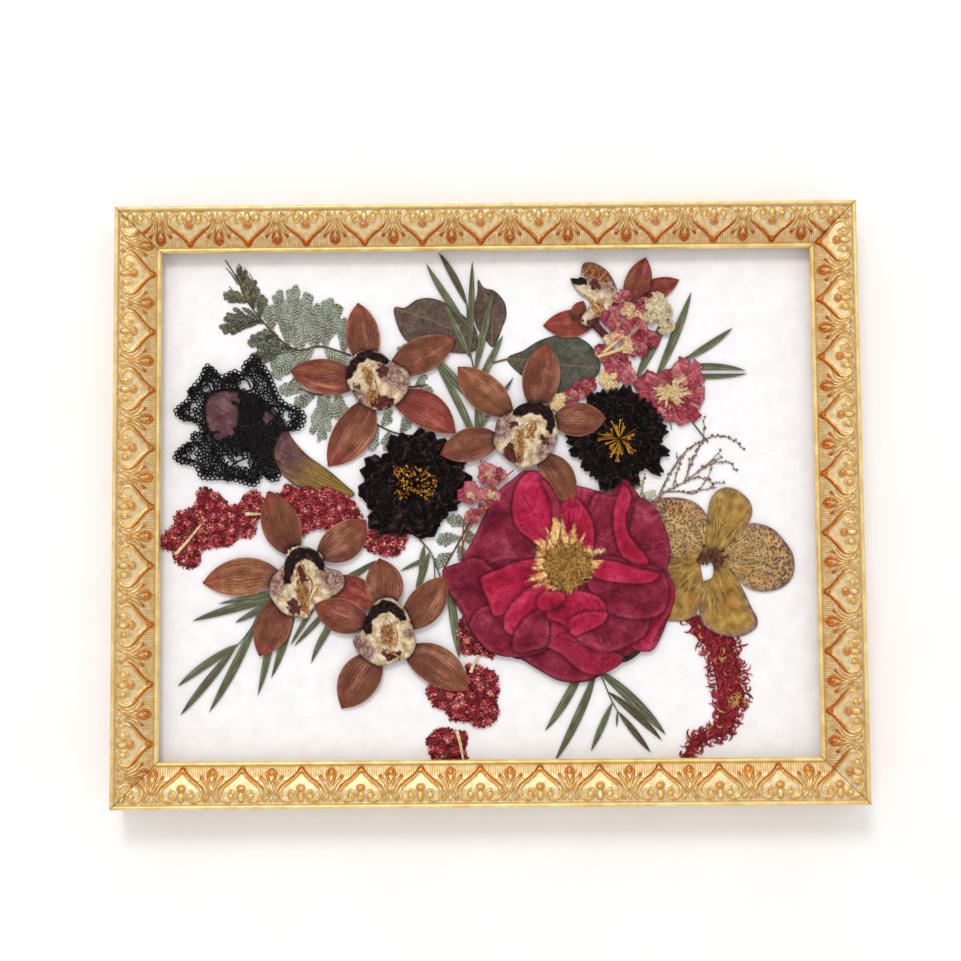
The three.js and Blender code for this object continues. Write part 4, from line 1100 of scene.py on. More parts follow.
def add_orchid(number, orchid, finish):
    piece = Piece(f"orchid_{number}_pressed")
    back = layer_back(orchid["layer"])
    lip_ring = smooth_line(orchid["lip"], 5, closed=True)
    order = [4, 2, 3, 1, 0] if number != 2 else [4, 3, 2, 1, 0]
    outlines = [blade_outline(*orchid["tepals"][k][:4]) for k in order]
    for place, k in enumerate(order):
        base, tip, width, bow, drop = orchid["tepals"][k]
        # above: painted shadow on each tepal from the lip and the tepals that lie over it
        add_petal(piece, base, tip, width, bow, back - 0.05 * place, n=46, m=21, drop=drop, relief=0.10,
                  waves=0.16,
                  ribs=0.02, rib_count=5.5, seed=number * 10 + k, kind=0, tone=orchid["tones"][k],
                  mark=(number * 5 + k) * 3.7, blunt=0.035, above=[lip_ring] + outlines[place + 1:])
    lip_back = back - 0.26

    def values(x, z, edge):
        hood = soft_area(x, z, orchid["hood"], 1.0, 2.6, number, 0.25)
        splotch, brown, mauve = (np.zeros(np.shape(x)) for _ in range(3))
        for k, outline in enumerate(orchid["splotches"]):
            splotch = np.maximum(splotch, soft_area(x, z, outline, 2.0, 1.6, number * 7 + k, 0.25))
        for (cx, cz), radius in orchid["mauve"]:
            mauve = np.maximum(mauve, ease(radius * 1.3, radius * 0.4, np.hypot(x - cx, z - cz)))
        for outline in orchid["brown"]:
            brown = np.maximum(brown, soft_area(x, z, outline, 1.2, 2.0, number + 40, 0.6))
        # shade: painted shade along the lip's rim
        return {"along": hood, "across": splotch, "tone": mauve, "kind": 1, "mark": brown,
                "shade": 0.55 * ease(1.4, 0.1, edge)}

    def rise(x, z):
        return HOOD_RISE * soft_area(x, z, orchid["hood"], 0.0, 1.0, 0,
                                     0.9) + 0.06 * np.sin(x * 1.9 + z * 1.3)

    add_sheet(piece, lip_ring, lip_back, 0.5, values, relief=0.06, waves=0.1, wave_size=3.0, seed=number,
              rise=rise)
    for k, keel in enumerate(orchid["keels"]):
        line = even_line(smooth_line(keel, 5), 0.7)
        depth = lip_back - 0.34 - 0.05 * k
        points = np.stack([line[:, 0], np.full(len(line), depth), line[:, 1]], 1)
        taper = KEEL_R * (0.45 + 0.55 * np.sin(np.linspace(0.25, 2.9, len(line))))
        add_tube(piece, points, taper, sides=6, flat=0.5, kind=2, tone=(0.2, 0.9, 0.5, 0.7)[k % 4],
                 along=0.5)
    return piece.make(finish, "orchid_petal", f"orchid_{number}")


def tepal_colour(f, cloud, vein):
    """Red-brown with fine veins that meet at the tip."""
    along, across, tone, which = (f.value(v) for v in ("along", "across", "tone", "mark"))
    place = f.join(f.times(across, 0.03), f.times(along, 0.010), f.times(which, 0.1))
    fibre = f.noise(1.0, 3, 0.6, 0.0, place)
    sweep = f.noise(1.0, 3, 0.6, 0.0, f.join(f.times(across, 0.0016), f.times(along, 0.0012), which))
    shade = f.scaled(sweep, 0.5, f.scaled(cloud, 0.25, f.times(fibre, 0.25)))
    deep = f.ramp(shade, (0.2, (88, 30, 26)), (0.5, (142, 62, 54)), (0.8, (198, 112, 98)))
    brown = f.ramp(shade, (0.2, (74, 38, 30)), (0.5, (126, 72, 56)), (0.8, (188, 128, 104)))
    tan = f.ramp(shade, (0.2, (98, 54, 34)), (0.5, (156, 98, 68)), (0.8, (212, 158, 120)))
    tepal = f.mix(f.band(tone, 0.45, 0.95), f.mix(f.band(tone, 0.1, 0.45), deep, brown), tan)
    # painted highlight: paler streaks where the tepal's sweep is high
    painted_gleam = f.times(f.band(sweep, 0.68, 0.95), f.band(f.noise(8, 2), 0.45, 0.8))
    tepal = f.tint(tepal, (226, 158, 118), painted_gleam, 0.5)
    lines = f.times(f.band(vein, 0.6, 1.0), f.band(f.noise(4, 2), 0.2, 0.7))
    tepal = f.tint(tepal, (52, 18, 18), lines, 0.8)
    tepal = f.tint(tepal, (112, 80, 44), f.band(f.noise(11, 2), 0.5, 0.85), 0.45)
    tepal = f.tint(tepal, (80, 44, 42), f.band(along, 0.5, 0.1), 0.45)
    rim = f.band(f.calc("ABSOLUTE", across), 0.93, 0.99)
    tepal = f.tint(tepal, (216, 156, 108), rim, f.scaled(f.noise(5, 2), 0.5, 0.1))
    tip = f.times(f.band(along, 0.70, 1.0), f.band(cloud, 0.2, 0.7))
    tepal = f.tint(tepal, (172, 68, 56), tip, 0.5)
    return tepal


def lip_colour(f):
    """Cream with mauve speckle, maroon splotches and a black hood."""
    along, across, tone, which = (f.value(v) for v in ("along", "across", "tone", "mark"))
    speckle = f.band(f.spots(0.95), 0.42, 0.24)
    cream = f.ramp(f.noise(3.5, 3, 0.5), (0.15, (164, 128, 90)), (0.45, (208, 184, 146)),
                   (0.8, (234, 220, 192)))
    flush = f.ramp(f.noise(2.2, 3), (0.15, (104, 66, 64)), (0.5, (150, 112, 106)),
                   (0.85, (200, 172, 154)))
    lip = f.tint(cream, flush, tone, f.band(f.noise(3, 3), 0.0, 0.3))
    lip = f.tint(lip, (74, 30, 38), f.times(speckle, f.band(tone, 0.1, 0.6)), 0.7)
    amber = f.ramp(f.noise(1.3, 3), (0.15, (66, 30, 16)), (0.5, (132, 74, 38)), (0.85, (196, 142, 84)))
    lip = f.tint(lip, amber, which, 0.9)
    lip = f.tint(lip, (112, 70, 44), f.creases(4.5, 0.04), 0.4)
    lip = f.mix(across, lip, f.ramp(f.noise(1.5, 3), (0.2, (48, 14, 20)), (0.8, (112, 54, 54))))
    hood = f.ramp(f.noise(1.8, 3), (0.2, (10, 3, 5)), (0.6, (34, 15, 16)), (0.9, (84, 48, 40)))
    lip = f.mix(along, lip, hood)
    return lip


def orchid_finish():
    f = Finish("orchid_tepal", Specular_IOR_Level=DRY_GLOSS)
    kind, tone, cloud = f.value("kind"), f.value("tone"), f.noise(6, 3)
    bend = f.times(f.minus(f.noise(6, 2), 0.5), 0.09)
    vein = f.calc("SINE", f.scaled(f.plus(f.value("across"), bend), 36.0, f.value("mark")))
    tepal, lip = tepal_colour(f, cloud, vein), lip_colour(f)
    keel = f.ramp(f.noise(1.2, 3), (0.1, (96, 50, 20)), (0.5, (192, 136, 72)), (0.9, (244, 216, 160)))
    keel = f.mix(tone, f.mix(0.5, keel, (92, 48, 26)), keel)
    f.dry_colour_painted_shade(f.mix(f.band(kind, 1.4, 1.6), f.mix(f.band(kind, 0.4, 0.6), tepal, lip), keel), 0.95)
    f.roughness(f.scaled(cloud, 0.25, 0.5))
    f.bump(f.plus(f.times(vein, -0.3), f.noise(0.9, 4, 0.6)), 0.3)
    return f.material


# ---- the rose: its petals from the back of the flower to the front, each an outline and a tone ----
ROSE_CENTRE = (42, -34)
ROSE_OUTLINE = [(13, 12), (4, 4), (-3, -9), (-8, -20), (-14, -31), (-24, -36), (-20, -48), (-13, -60),
                (-8, -70), (2, -79), (16, -82), (26, -88), (38, -94), (52, -94), (61, -89), (69, -84),
                (77, -78), (86, -78), (94, -62), (98, -47), (94, -36), (96, -27), (93, -13), (86, -6),
                (78, 3), (72, 11), (64, 5), (50, 8), (40, 11), (24, 17)]
ROSE_PETALS = [
    (0.05, [(14, -79), (24, -77), (38, -76), (54, -84), (60, -90), (48, -94), (36, -93), (24, -86)]),
    (0.10, [(13, 12), (4, 4), (-3, -9), (-8, -20), (-14, -31), (-4, -33), (10, -30), (24, -30), (26, -8),
            (26, 8), (21, 17)]),
    (0.35, [(30, 14), (40, 10), (50, 8), (58, 5), (64, -4), (62, -22), (54, -34), (44, -34), (34, -24),
            (30, 0)]),
    (0.25, [(56, 4), (68, 3), (72, 12), (80, 3), (86, -8), (88, -26), (78, -32), (58, -30), (52, -12)]),
    (0.20, [(80, 2), (88, -3), (93, -13), (96, -27), (94, -36), (97, -46), (88, -46), (78, -36),
            (74, -20), (76, -6)]),
    (0.55, [(93, -38), (98, -47), (95, -59), (88, -70), (85, -78), (77, -78), (72, -72), (76, -58),
            (84, -48)]),
    (0.20, [(-24, -36), (-14, -31), (-5, -29), (4, -36), (12, -44), (6, -56), (-2, -64), (-8, -70),
            (-13, -58), (-16, -52), (-20, -48)]),
    (0.12, [(-10, -62), (-2, -54), (12, -52), (24, -56), (30, -66), (31, -77), (16, -81), (2, -79),
            (-8, -69)]),
    (0.45, [(24, -62), (34, -60), (48, -66), (60, -76), (69, -80), (69, -85), (57, -91), (47, -88),
            (38, -80), (29, -75), (24, -70)]),
    (0.15, [(44, -60), (56, -56), (70, -57), (84, -60), (82, -70), (72, -76), (62, -79), (50, -76),
            (44, -68)]),
    (0.22, [(54, -30), (68, -29), (80, -32), (91, -36), (95, -46), (92, -58), (82, -62), (70, -61),
            (58, -56), (52, -44)]),
    (0.80, [(72, 9), (76, 2), (73, -8), (74, -17), (81, -26), (84, -33), (72, -31), (67, -20), (66, -8),
            (68, 2)]),
    (0.90, [(30, 13), (23, 16.5), (16, 10), (13, 0), (14, -11), (20, -18), (31, -25), (36, -16), (37, -4),
            (35, 6)]),
    (0.85, [(38, -2), (46, 2), (52, -4), (56, -14), (55, -26), (50, -31), (42, -28), (37, -16)]),
    (0.30, [(28, 12), (33, 9), (38, -2), (38, -14), (35, -24), (31, -25), (34, -12), (33, 0)]),
    (0.75, [(-4, -40), (6, -35), (16, -31), (30, -30), (36, -38), (28, -48), (16, -54), (4, -60),
            (0, -52)]),
    (0.98, [(50, -32), (64, -31), (78, -35), (90, -38), (84, -43), (70, -43), (56, -40)]),
    (0.80, [(22, -44), (34, -44), (40, -52), (34, -59), (24, -60), (14, -70), (8, -66), (10, -56)]),
    (0.18, [(30, -56), (22, -58), (14, -68), (13, -78), (24, -78), (31, -74), (32, -64)]),
    (0.65, [(34, -50), (44, -46), (58, -50), (62, -58), (54, -64), (46, -70), (38, -64), (30, -60)]),
    (0.88, [(25, -52), (30, -47), (40, -48), (38, -55), (28, -57)]),
    (0.92, [(42, -62), (50, -58), (62, -58), (60, -64), (52, -68), (44, -70)]),
]
ROSE_SEPALS = [[(68, -77), (73, -75), (80, -78), (72, -84), (66, -83)],
               [(8, -78), (16, -79), (22, -82), (14, -82)]]
PETAL_STEP = 0.05
CREAM_REACH = [(0, 16), (30, 17), (60, 16), (85, 17), (105, 25), (120, 20), (150, 17), (180, 18),
               (210, 18), (235, 15), (260, 11), (285, 6), (330, 7), (360, 16)]
STAMENS = 520


def add_rose():
    piece = Piece("rose_pressed")
    back = layer_back(4)
    cx, cz = ROSE_CENTRE
    for k, outline in enumerate(ROSE_SEPALS):
        add_sheet(piece, smooth_line(outline, 4, closed=True), back + 0.1, 0.9, lambda x, z,
                  edge: {"kind": 3}, seed=k)
    shapes = [(0.0, ROSE_OUTLINE)] + ROSE_PETALS
    rings = [smooth_line(outline, 5, closed=True) for _, outline in shapes]
    for k, (tone, _) in enumerate(shapes):
        def values(x, z, edge, tone=tone, k=k):
            angle, radius = np.arctan2(z - cz, x - cx), np.hypot(x - cx, z - cz)
            reach = np.interp(np.degrees(angle) % 360, *zip(*CREAM_REACH))
            streak = noise(angle * 10, radius * 0.05, 1, k) * 0.6
            streak = streak + noise(angle * 26, radius * 0.06, 1, k + 3) * 0.4
            cream = ease(reach * (0.6 + 0.8 * streak) + 1.5, reach * (0.6 + 0.8 * streak) - 1.5, radius)
            return {"along": angle * 6, "across": edge, "tone": tone, "mark": cream, "kind": 0}

        def rise(x, z, k=k):
            angle = np.arctan2(z - cz, x - cx)
            return 0.02 * np.sin(angle * (19 + k % 5)) + 0.30 * np.abs(rough_noise(x, z, 7, k + 9) - 0.5)

        # above: painted shadow on each petal from the petals that lie over it
        add_sheet(piece, rings[k], back - PETAL_STEP * k, 1.05 if k else 2.5, values, relief=0.05,
                  waves=0.13,
                  wave_size=9, seed=60 + k, rise=rise, above=rings[k + 1:])
    front = back - PETAL_STEP * len(shapes)
    eye = [(cx + 11.5 * math.cos(a) * (1 + 0.12 * math.sin(5 * a)),
            cz + 10.5 * math.sin(a) * (1 + 0.1 * math.sin(3 * a)))
           for a in np.linspace(0, 2 * math.pi, 24, endpoint=False)]
    add_sheet(piece, eye, front + 0.05, 0.8, lambda x, z, edge: {"kind": 2,
                                                                 "tone": rough_noise(x, z, 2.2, 4)},
              waves=0.2,
              wave_size=2.5, seed=1)
    rng = np.random.default_rng(11)
    for k in range(int(STAMENS / FINE)):
        angle, radius = rng.uniform(0, 2 * math.pi), 12.5 * math.sqrt(rng.uniform(0.0, 1))
        reach, lean = rng.uniform(1.6, 3.8), rng.normal(0, 0.9)
        start = np.array(ROSE_CENTRE) + radius * 0.86 * toward(angle)
        way = toward(angle + lean)
        side = left_of(way) * rng.normal(0, 0.5)
        t = np.linspace(0, 1, 5)[:, None]
        line = start + way * reach * t + side * np.sin(t * 3)
        depth = front - 0.12 - rng.uniform(0, 0.18) * np.sin(t[:, 0] * 2.6)
        tone = rng.uniform(0, 1)
        add_tube(piece, np.stack([line[:, 0], depth, line[:, 1]], 1), 0.2, sides=4, kind=1, tone=tone)
        add_grain(piece, line[-1, 0], depth[-1] + 0.02, line[-1, 1], rng.uniform(0.4, 0.8), 0.4, rng,
                  kind=2, tone=tone)
    return piece.make(rose_finish(), "rose_petal", "rose", angle=70)


def rose_finish():
    f = Finish("rose_petal", Specular_IOR_Level=DRY_GLOSS)
    angle, edge, kind, tone, cream = (f.value(v) for v in ("along", "across", "kind", "tone", "mark"))
    rays = f.join(f.times(angle, 0.0012), f.times(tone, 0.01), f.times(edge, 0.0003))
    streaks = f.noise(1.0, 4, 0.6, 0.6, rays)
    shade = f.scaled(f.noise(16, 4, 0.6, 0.5), 0.62, f.times(streaks, 0.10))
    shade = f.scaled(f.noise(3, 4, 0.65), 0.28, shade)
    dull = f.ramp(shade, (0.2, (74, 8, 28)), (0.42, (120, 22, 46)), (0.6, (142, 40, 66)),
                  (0.85, (170, 76, 100)))
    bright = f.ramp(shade, (0.2, (108, 4, 28)), (0.42, (158, 14, 50)), (0.6, (182, 30, 70)),
                    (0.85, (210, 76, 108)))
    petal = f.mix(f.band(tone, 0.15, 0.8), dull, bright)
    petal = f.tint(petal, (76, 6, 26), f.creases(11, 0.03), 0.6)
    petal = f.tint(petal, (92, 10, 34), f.creases(5, 0.025), 0.35)
    veins = f.creases(1.0, 0.07, f.join(f.times(angle, 0.002), f.times(tone, 0.02), 0.0))
    petal = f.tint(petal, (222, 120, 144), veins, f.times(f.band(f.noise(12, 2), 0.4, 0.9), 0.16))
    rim = f.times(f.band(edge, 0.55, 0.1), f.scaled(f.noise(9, 2), 0.6, 0.25))
    petal = f.mix(rim, petal, (66, 4, 22))
    within = f.times(f.band(edge, 3.4, 1.0), f.band(edge, 0.5, 1.0))
    petal = f.tint(petal, (206, 92, 116), within, f.times(f.noise(8, 2), 0.25))
    base = f.ramp(f.noise(1.8, 3), (0.15, (206, 104, 62)), (0.5, (232, 184, 104)),
                  (0.85, (248, 234, 192)))
    petal = f.tint(petal, base, cream, f.band(streaks, 0.1, 0.5))
    stalk = f.ramp(tone, (0.0, (104, 68, 30)), (0.5, (164, 120, 54)), (1.0, (214, 176, 104)))
    anther = f.ramp(f.scaled(f.noise(1.6, 3), 0.5, f.times(tone, 0.5)),
                    (0.1, (58, 32, 16)), (0.4, (118, 78, 36)), (0.65, (168, 124, 62)),
                    (0.9, (214, 180, 108)))
    heart = f.mix(f.band(kind, 1.4, 1.6), stalk, anther)
    sepal = f.ramp(f.noise(2, 3), (0.2, (22, 16, 14)), (0.8, (64, 52, 38)))
    part = f.mix(f.band(kind, 0.4, 0.6), petal, heart)
    f.dry_colour_painted_shade(f.mix(f.band(kind, 2.4, 2.6), part, sepal), 0.75)
    f.roughness(f.scaled(f.noise(3, 2), 0.25, 0.45))
    f.bump(f.plus(f.times(f.noise(4.5, 3, 0.6), 1.4), f.noise(1.8, 5, 0.65)), 0.4)
    return f.material


# ---- the two near-black flowers ----
# base: share of the outline that the plain sheet under the petals fills. round: how far a petal's
# end falls back at its sides. rings: petals, reach, width, and where they start.
TEETH = 5                            # points along a petal's end
RING_STEP = 0.13                     # between two rings of petals
DARK_1 = {"centre": (-40, 9), "base": 0.70, "round": 0.17,
          "rings": [(14, 1.0, 16, 0.5), (12, 0.84, 15, 0.5), (10, 0.66, 14, 0.5), (8, 0.47, 11, 0.5)],
          "outline": [(-50, 38), (-44, 40), (-38, 35), (-35, 42), (-30, 41), (-27, 37), (-18, 37),
                      (-14, 30), (-5, 23), (-4, 16), (-9, 5), (-12, -2), (-14, -8), (-23, -15),
                      (-26, -21), (-32, -23), (-37, -18), (-44, -16), (-52, -20), (-60, -21), (-64, -14),
                      (-67, -3), (-72, 4), (-74, 11), (-69, 15), (-71, 22), (-65, 27), (-56, 27)]}
DARK_2 = {"centre": (70, 33), "base": 0.82, "round": 0.10,
          "rings": [(26, 1.02, 8, 0.5), (24, 0.87, 8, 0.5), (19, 0.70, 7.5, 0.5), (14, 0.50, 6, 0.5)],
          "outline": [(54, 57), (61, 60), (70, 62), (72, 66), (75, 61), (79, 62), (83, 57), (89, 52),
                      (96, 47), (97, 38), (95, 31), (98.5, 24), (91, 20), (93, 15), (83, 13), (79, 8),
                      (70, 5), (61, 6), (55, 9), (48, 15), (45, 24), (42, 31), (45, 42)]}
# Bundles of stamens of the second one: direction in degrees and reach.
DARK_2_STAMENS = [(68, 9), (105, 10), (112, 7), (150, 8), (176, 11), (196, 8), (228, 7), (250, 11),
                  (262, 12), (275, 8), (312, 11), (322, 8), (352, 6), (22, 10)]


def outline_reach(outline, centre, angle):
    """How far an outline lies from centre at an angle."""
    points = np.array(even_line(smooth_line(outline, 4, closed=True), 0.5, closed=True)) - centre
    angles = np.arctan2(points[:, 1], points[:, 0])
    gap = np.abs(np.angle(np.exp(1j * (angles - angle))))
    return np.hypot(*points[np.argmin(gap)])


def add_dark_flower(number, flower, seed):
    """Rings of crumpled petals, each a sheet with a toothed end."""
    piece = Piece(f"dark_flower_{number}_pressed")
    back = layer_back(3)
    rng = np.random.default_rng(seed)
    centre = np.array(flower["centre"], float)
    shrunk = shrink(flower["outline"], centre, flower["base"])
    add_sheet(piece, smooth_line(shrunk, 4, closed=True), back, 2.0, lambda x, z, edge: {"tone": 0.0},
              relief=0.0,
              waves=0.0, seed=seed)
    petals = []
    for ring, (count, reach, width, start) in enumerate(flower["rings"]):
        for k in range(count):
            angle = 2 * math.pi * (k + 0.5 * (ring % 2) + rng.uniform(-0.22, 0.22)) / count
            length = outline_reach(flower["outline"], centre, angle) * reach * rng.uniform(0.88, 1.05)
            way = toward(angle)
            side = left_of(way)
            wide = width * rng.uniform(0.8, 1.15) / 2
            root = length * start * 0.45
            outline = [tuple(centre + way * root - side * wide * 0.35),
                       tuple(centre + way * length * 0.78 - side * wide * 0.95)]
            for j in range(TEETH):
                s = -1 + 2 * (j + 0.5) / TEETH
                notch = rng.uniform(0.97, 1.02) if j % 2 else rng.uniform(0.89, 0.96)
                out = length * (1 - flower["round"] * s * s) * notch
                outline.append(tuple(centre + way * out + side * wide * s))
            outline += [tuple(centre + way * length * 0.78 + side * wide * 0.95),
                        tuple(centre + way * root + side * wide * 0.35)]
            petals.append((ring, k, way, side, wide, smooth_line(outline, 2, closed=True)))
    outlines = [petal[-1] for petal in petals]
    for place, (ring, k, way, side, wide, outline) in enumerate(petals):
        tone, turn, lean = rng.uniform(0, 1), rng.uniform(0, 6), rng.uniform(0.1, 0.35)

        def crease(x, z, way=way, side=side, turn=turn, wide=wide, lean=lean):
            along = (x - centre[0]) * way[0] + (z - centre[1]) * way[1]
            across = (x - centre[0]) * side[0] + (z - centre[1]) * side[1]
            wander = 4 * rough_noise(x, z, 3.5, seed)
            return np.abs(np.sin(across * 4.0 / wide + lean * along + turn + wander))

        def values(x, z, edge, tone=tone, crease=crease):
            return {"tone": tone, "across": edge, "along": crease(x, z)}

        # above: painted shadow on each petal from the next petals that lie over it
        add_sheet(piece, outline, back - 0.05 - RING_STEP * ring - rng.uniform(0, 0.05), 0.9, values,
                  relief=0.03,
                  waves=0.16, wave_size=2.6, seed=seed + ring * 31 + k, rise=lambda x,
                  z: 0.26 * crease(x, z),
                  above=outlines[place + 1:place + 30])
    return piece, rng, centre, back - 0.05 - RING_STEP * len(flower["rings"]) - 0.3


def add_dark_flowers():
    finish = dark_finish()
    piece, rng, _, front = add_dark_flower(1, DARK_1, 21)
    crown = [(-50, 20), (-46, 19), (-40, 18), (-34, 18), (-28, 15), (-26, 9), (-29, 3), (-33, 3),
             (-40, 6), (-44, 1), (-48, 6), (-46, 11), (-49, 16)]
    hollow = (-38, 12)
    for x, z in scatter(crown, 1.15, rng):
        if math.hypot(x - hollow[0], z - hollow[1]) < 3.4 and rng.uniform() < 0.7 or rng.uniform() < 0.12:
            continue
        angle, t = rng.uniform(0, 6.28), np.linspace(0, 1, 5)
        size = rng.uniform(0.5, 1.7)
        line = np.stack([x + size * np.cos(angle + 1.6 * t) * t,
                         front - 0.1 - 0.25 * t * rng.uniform(0, 1),
                         z + size * np.sin(angle + 1.6 * t) * t], 1)
        tone = rng.uniform(0, 1)
        add_tube(piece, line, 0.2, sides=4, kind=1, tone=tone)
        add_grain(piece, line[-1, 0], line[-1, 1], line[-1, 2], rng.uniform(0.35, 0.65), 0.5, rng, kind=1,
                  tone=tone)
    piece.make(finish, "dark_petal", "dark_flower_1", angle=70)
    piece, rng, centre, front = add_dark_flower(2, DARK_2, 22)
    for middle, reach in DARK_2_STAMENS:
        for _ in range(4):
            angle = math.radians(middle) + rng.normal(0, 0.10)
            start, end = rng.uniform(0.5, 5.0), reach * rng.uniform(0.7, 1.05)
            t = np.linspace(0, 1, 6)
            radius = start + (end - start) * t
            bend = rng.normal(0, 0.1) * t
            line = np.stack([centre[0] + radius * np.cos(angle + bend),
                             front - 0.05 - 0.2 * np.sin(t * 3) * rng.uniform(0, 1),
                             centre[1] + radius * np.sin(angle + bend)], 1)
            tone = rng.uniform(0, 0.95)
            add_tube(piece, line, 0.10 + 0.13 * t, sides=4, kind=1, tone=tone)
            add_grain(piece, *line[-1], rng.uniform(0.35, 0.6), 0.5, rng, kind=1, tone=tone)
    piece.make(finish, "dark_petal", "dark_flower_2", angle=70)


def dark_finish():
    f = Finish("dark_petal", Specular_IOR_Level=0.08)
    kind, tone, edge, crest = f.value("kind"), f.value("tone"), f.value("across"), f.value("along")
    # painted sheen: paler purple-brown on the crests of the crumples
    ridge = f.times(f.band(crest, 0.55, 1.0), f.band(f.noise(4, 4, 0.65), 0.3, 0.8))
    black = f.ramp(f.noise(2.0, 5, 0.7), (0.2, (0, 0, 0)), (0.6, (9, 4, 4)), (0.95, (26, 15, 15)))
    painted_sheen = f.ramp(f.noise(1.4, 3), (0.2, (44, 27, 29)), (0.8, (108, 78, 80)))
    petal = f.tint(black, painted_sheen, ridge, f.scaled(tone, 0.9, 0.1))
    # painted highlight: a paler band just inside each petal's edge
    outer = f.times(f.band(edge, 1.2, 0.2), f.band(edge, 0.0, 0.25))
    petal = f.tint(petal, (84, 58, 60), outer, f.times(f.noise(3.5, 2), 0.7))
    stamen = f.ramp(tone, (0.0, (110, 58, 8)), (0.45, (184, 116, 22)), (0.85, (222, 170, 52)),
                    (1.0, (240, 206, 104)))
    f.dry_colour_painted_shade(f.mix(f.band(kind, 0.4, 0.6), petal, stamen), 1.0)
    f.roughness(f.scaled(f.noise(2, 3), 0.25, 0.45))
    f.bump(f.noise(1.2, 5, 0.7), 0.6)
    return f.material


# ---- the speckled vanda: outline, how mottled and how purple its rim is ----
VANDA_CENTRE = (118, -31)
VANDA_PETALS = [
    (0.95, 0.5, [(86, 0), (98, 2), (108, 0), (114, -5), (117, -12), (116, -22), (118, -31), (105, -31),
                 (94, -27), (91, -12)]),
    (0.15, 0.5, [(117, -27), (104, -29), (94, -31), (96, -45), (95, -55), (93, -62), (100, -63),
                 (107, -61), (113, -52), (113, -42), (112, -33)]),
    (0.10, 0.9, [(119, -30), (126, -35), (133, -45), (138, -56), (141, -62), (140, -67), (133, -71),
                 (124, -71), (115, -67), (111, -60), (112, -44), (118, -40)]),
    (0.30, 0.45, [(116, -6), (119, 3), (125, 7), (132, 5.5), (138, 0), (139.5, -6), (137, -12),
                  (128, -24), (120, -33), (115, -24)]),
    (0.90, 0.8, [(122, -32), (129, -20), (133, -14.5), (140, -12), (150, -15), (158, -24), (161, -31),
                 (160, -40), (154, -46), (144, -48), (135, -45), (128, -37)]),
]
VANDA_GAP = [(113.5, -33), (117.5, -34), (118, -39), (115, -42.5), (112.5, -39)]


def add_vanda():
    piece = Piece("vanda_pressed")
    back = layer_back(1)
    for k, (mottle, rim, outline) in enumerate(VANDA_PETALS):
        far = max(math.dist(p, VANDA_CENTRE) for p in outline)

        def values(x, z, edge, mottle=mottle, rim=rim, far=far):
            dx, dz = x - VANDA_CENTRE[0], z - VANDA_CENTRE[1]
            radius = np.hypot(dx, dz)
            outer = ease(0.45, 0.95, radius / far)
            wavy = edge + 1.5 * (rough_noise(x, z, 3, 4) - 0.5)
            border = rim * ease(3.2, 0.4, wavy) * ease(0.4, 0.7, radius / far)
            return {"along": radius / 30, "across": np.arctan2(dz, dx),
                    "tone": mottle * (0.55 + 0.45 * outer),
                    "mark": border, "kind": edge}

        def rise(x, z):
            angle = np.arctan2(z - VANDA_CENTRE[1], x - VANDA_CENTRE[0])
            return 0.05 * np.sin(angle * 38) * ease(26, 8,
                                                    np.hypot(x - VANDA_CENTRE[0], z - VANDA_CENTRE[1]))

        add_sheet(piece, smooth_line(outline, 5, closed=True), back - 0.07 * k, 0.7, values, relief=0.1,
                  waves=0.14,
                  wave_size=5, seed=80 + k, rise=rise)
    rng = np.random.default_rng(8)
    for k in range(26):
        angle = rng.uniform(0, 6.28)
        radius = rng.uniform(1.5, 7.5)
        x = VANDA_CENTRE[0] + radius * math.cos(angle)
        z = VANDA_CENTRE[1] + 2 + radius * 0.75 * math.sin(angle)
        if inside(np.array(x), np.array(z), VANDA_GAP):
            continue
        reach = rng.uniform(1.5, 3.5)
        t = np.linspace(0, 1, 5)
        line = np.stack([x + reach * t * math.cos(angle + 0.6), back - 0.75 - 0.15 * np.sin(t * 3),
                         z + reach * t * math.sin(angle + 0.6)], 1)
        add_tube(piece, line, rng.uniform(0.6, 1.1) * np.sin(0.5 + t * 2.2), sides=6, flat=0.4, along=-1,
                 tone=rng.uniform(0, 1), kind=9)
    return piece.make(vanda_finish(), "vanda_petal", "vanda_flower", angle=70)


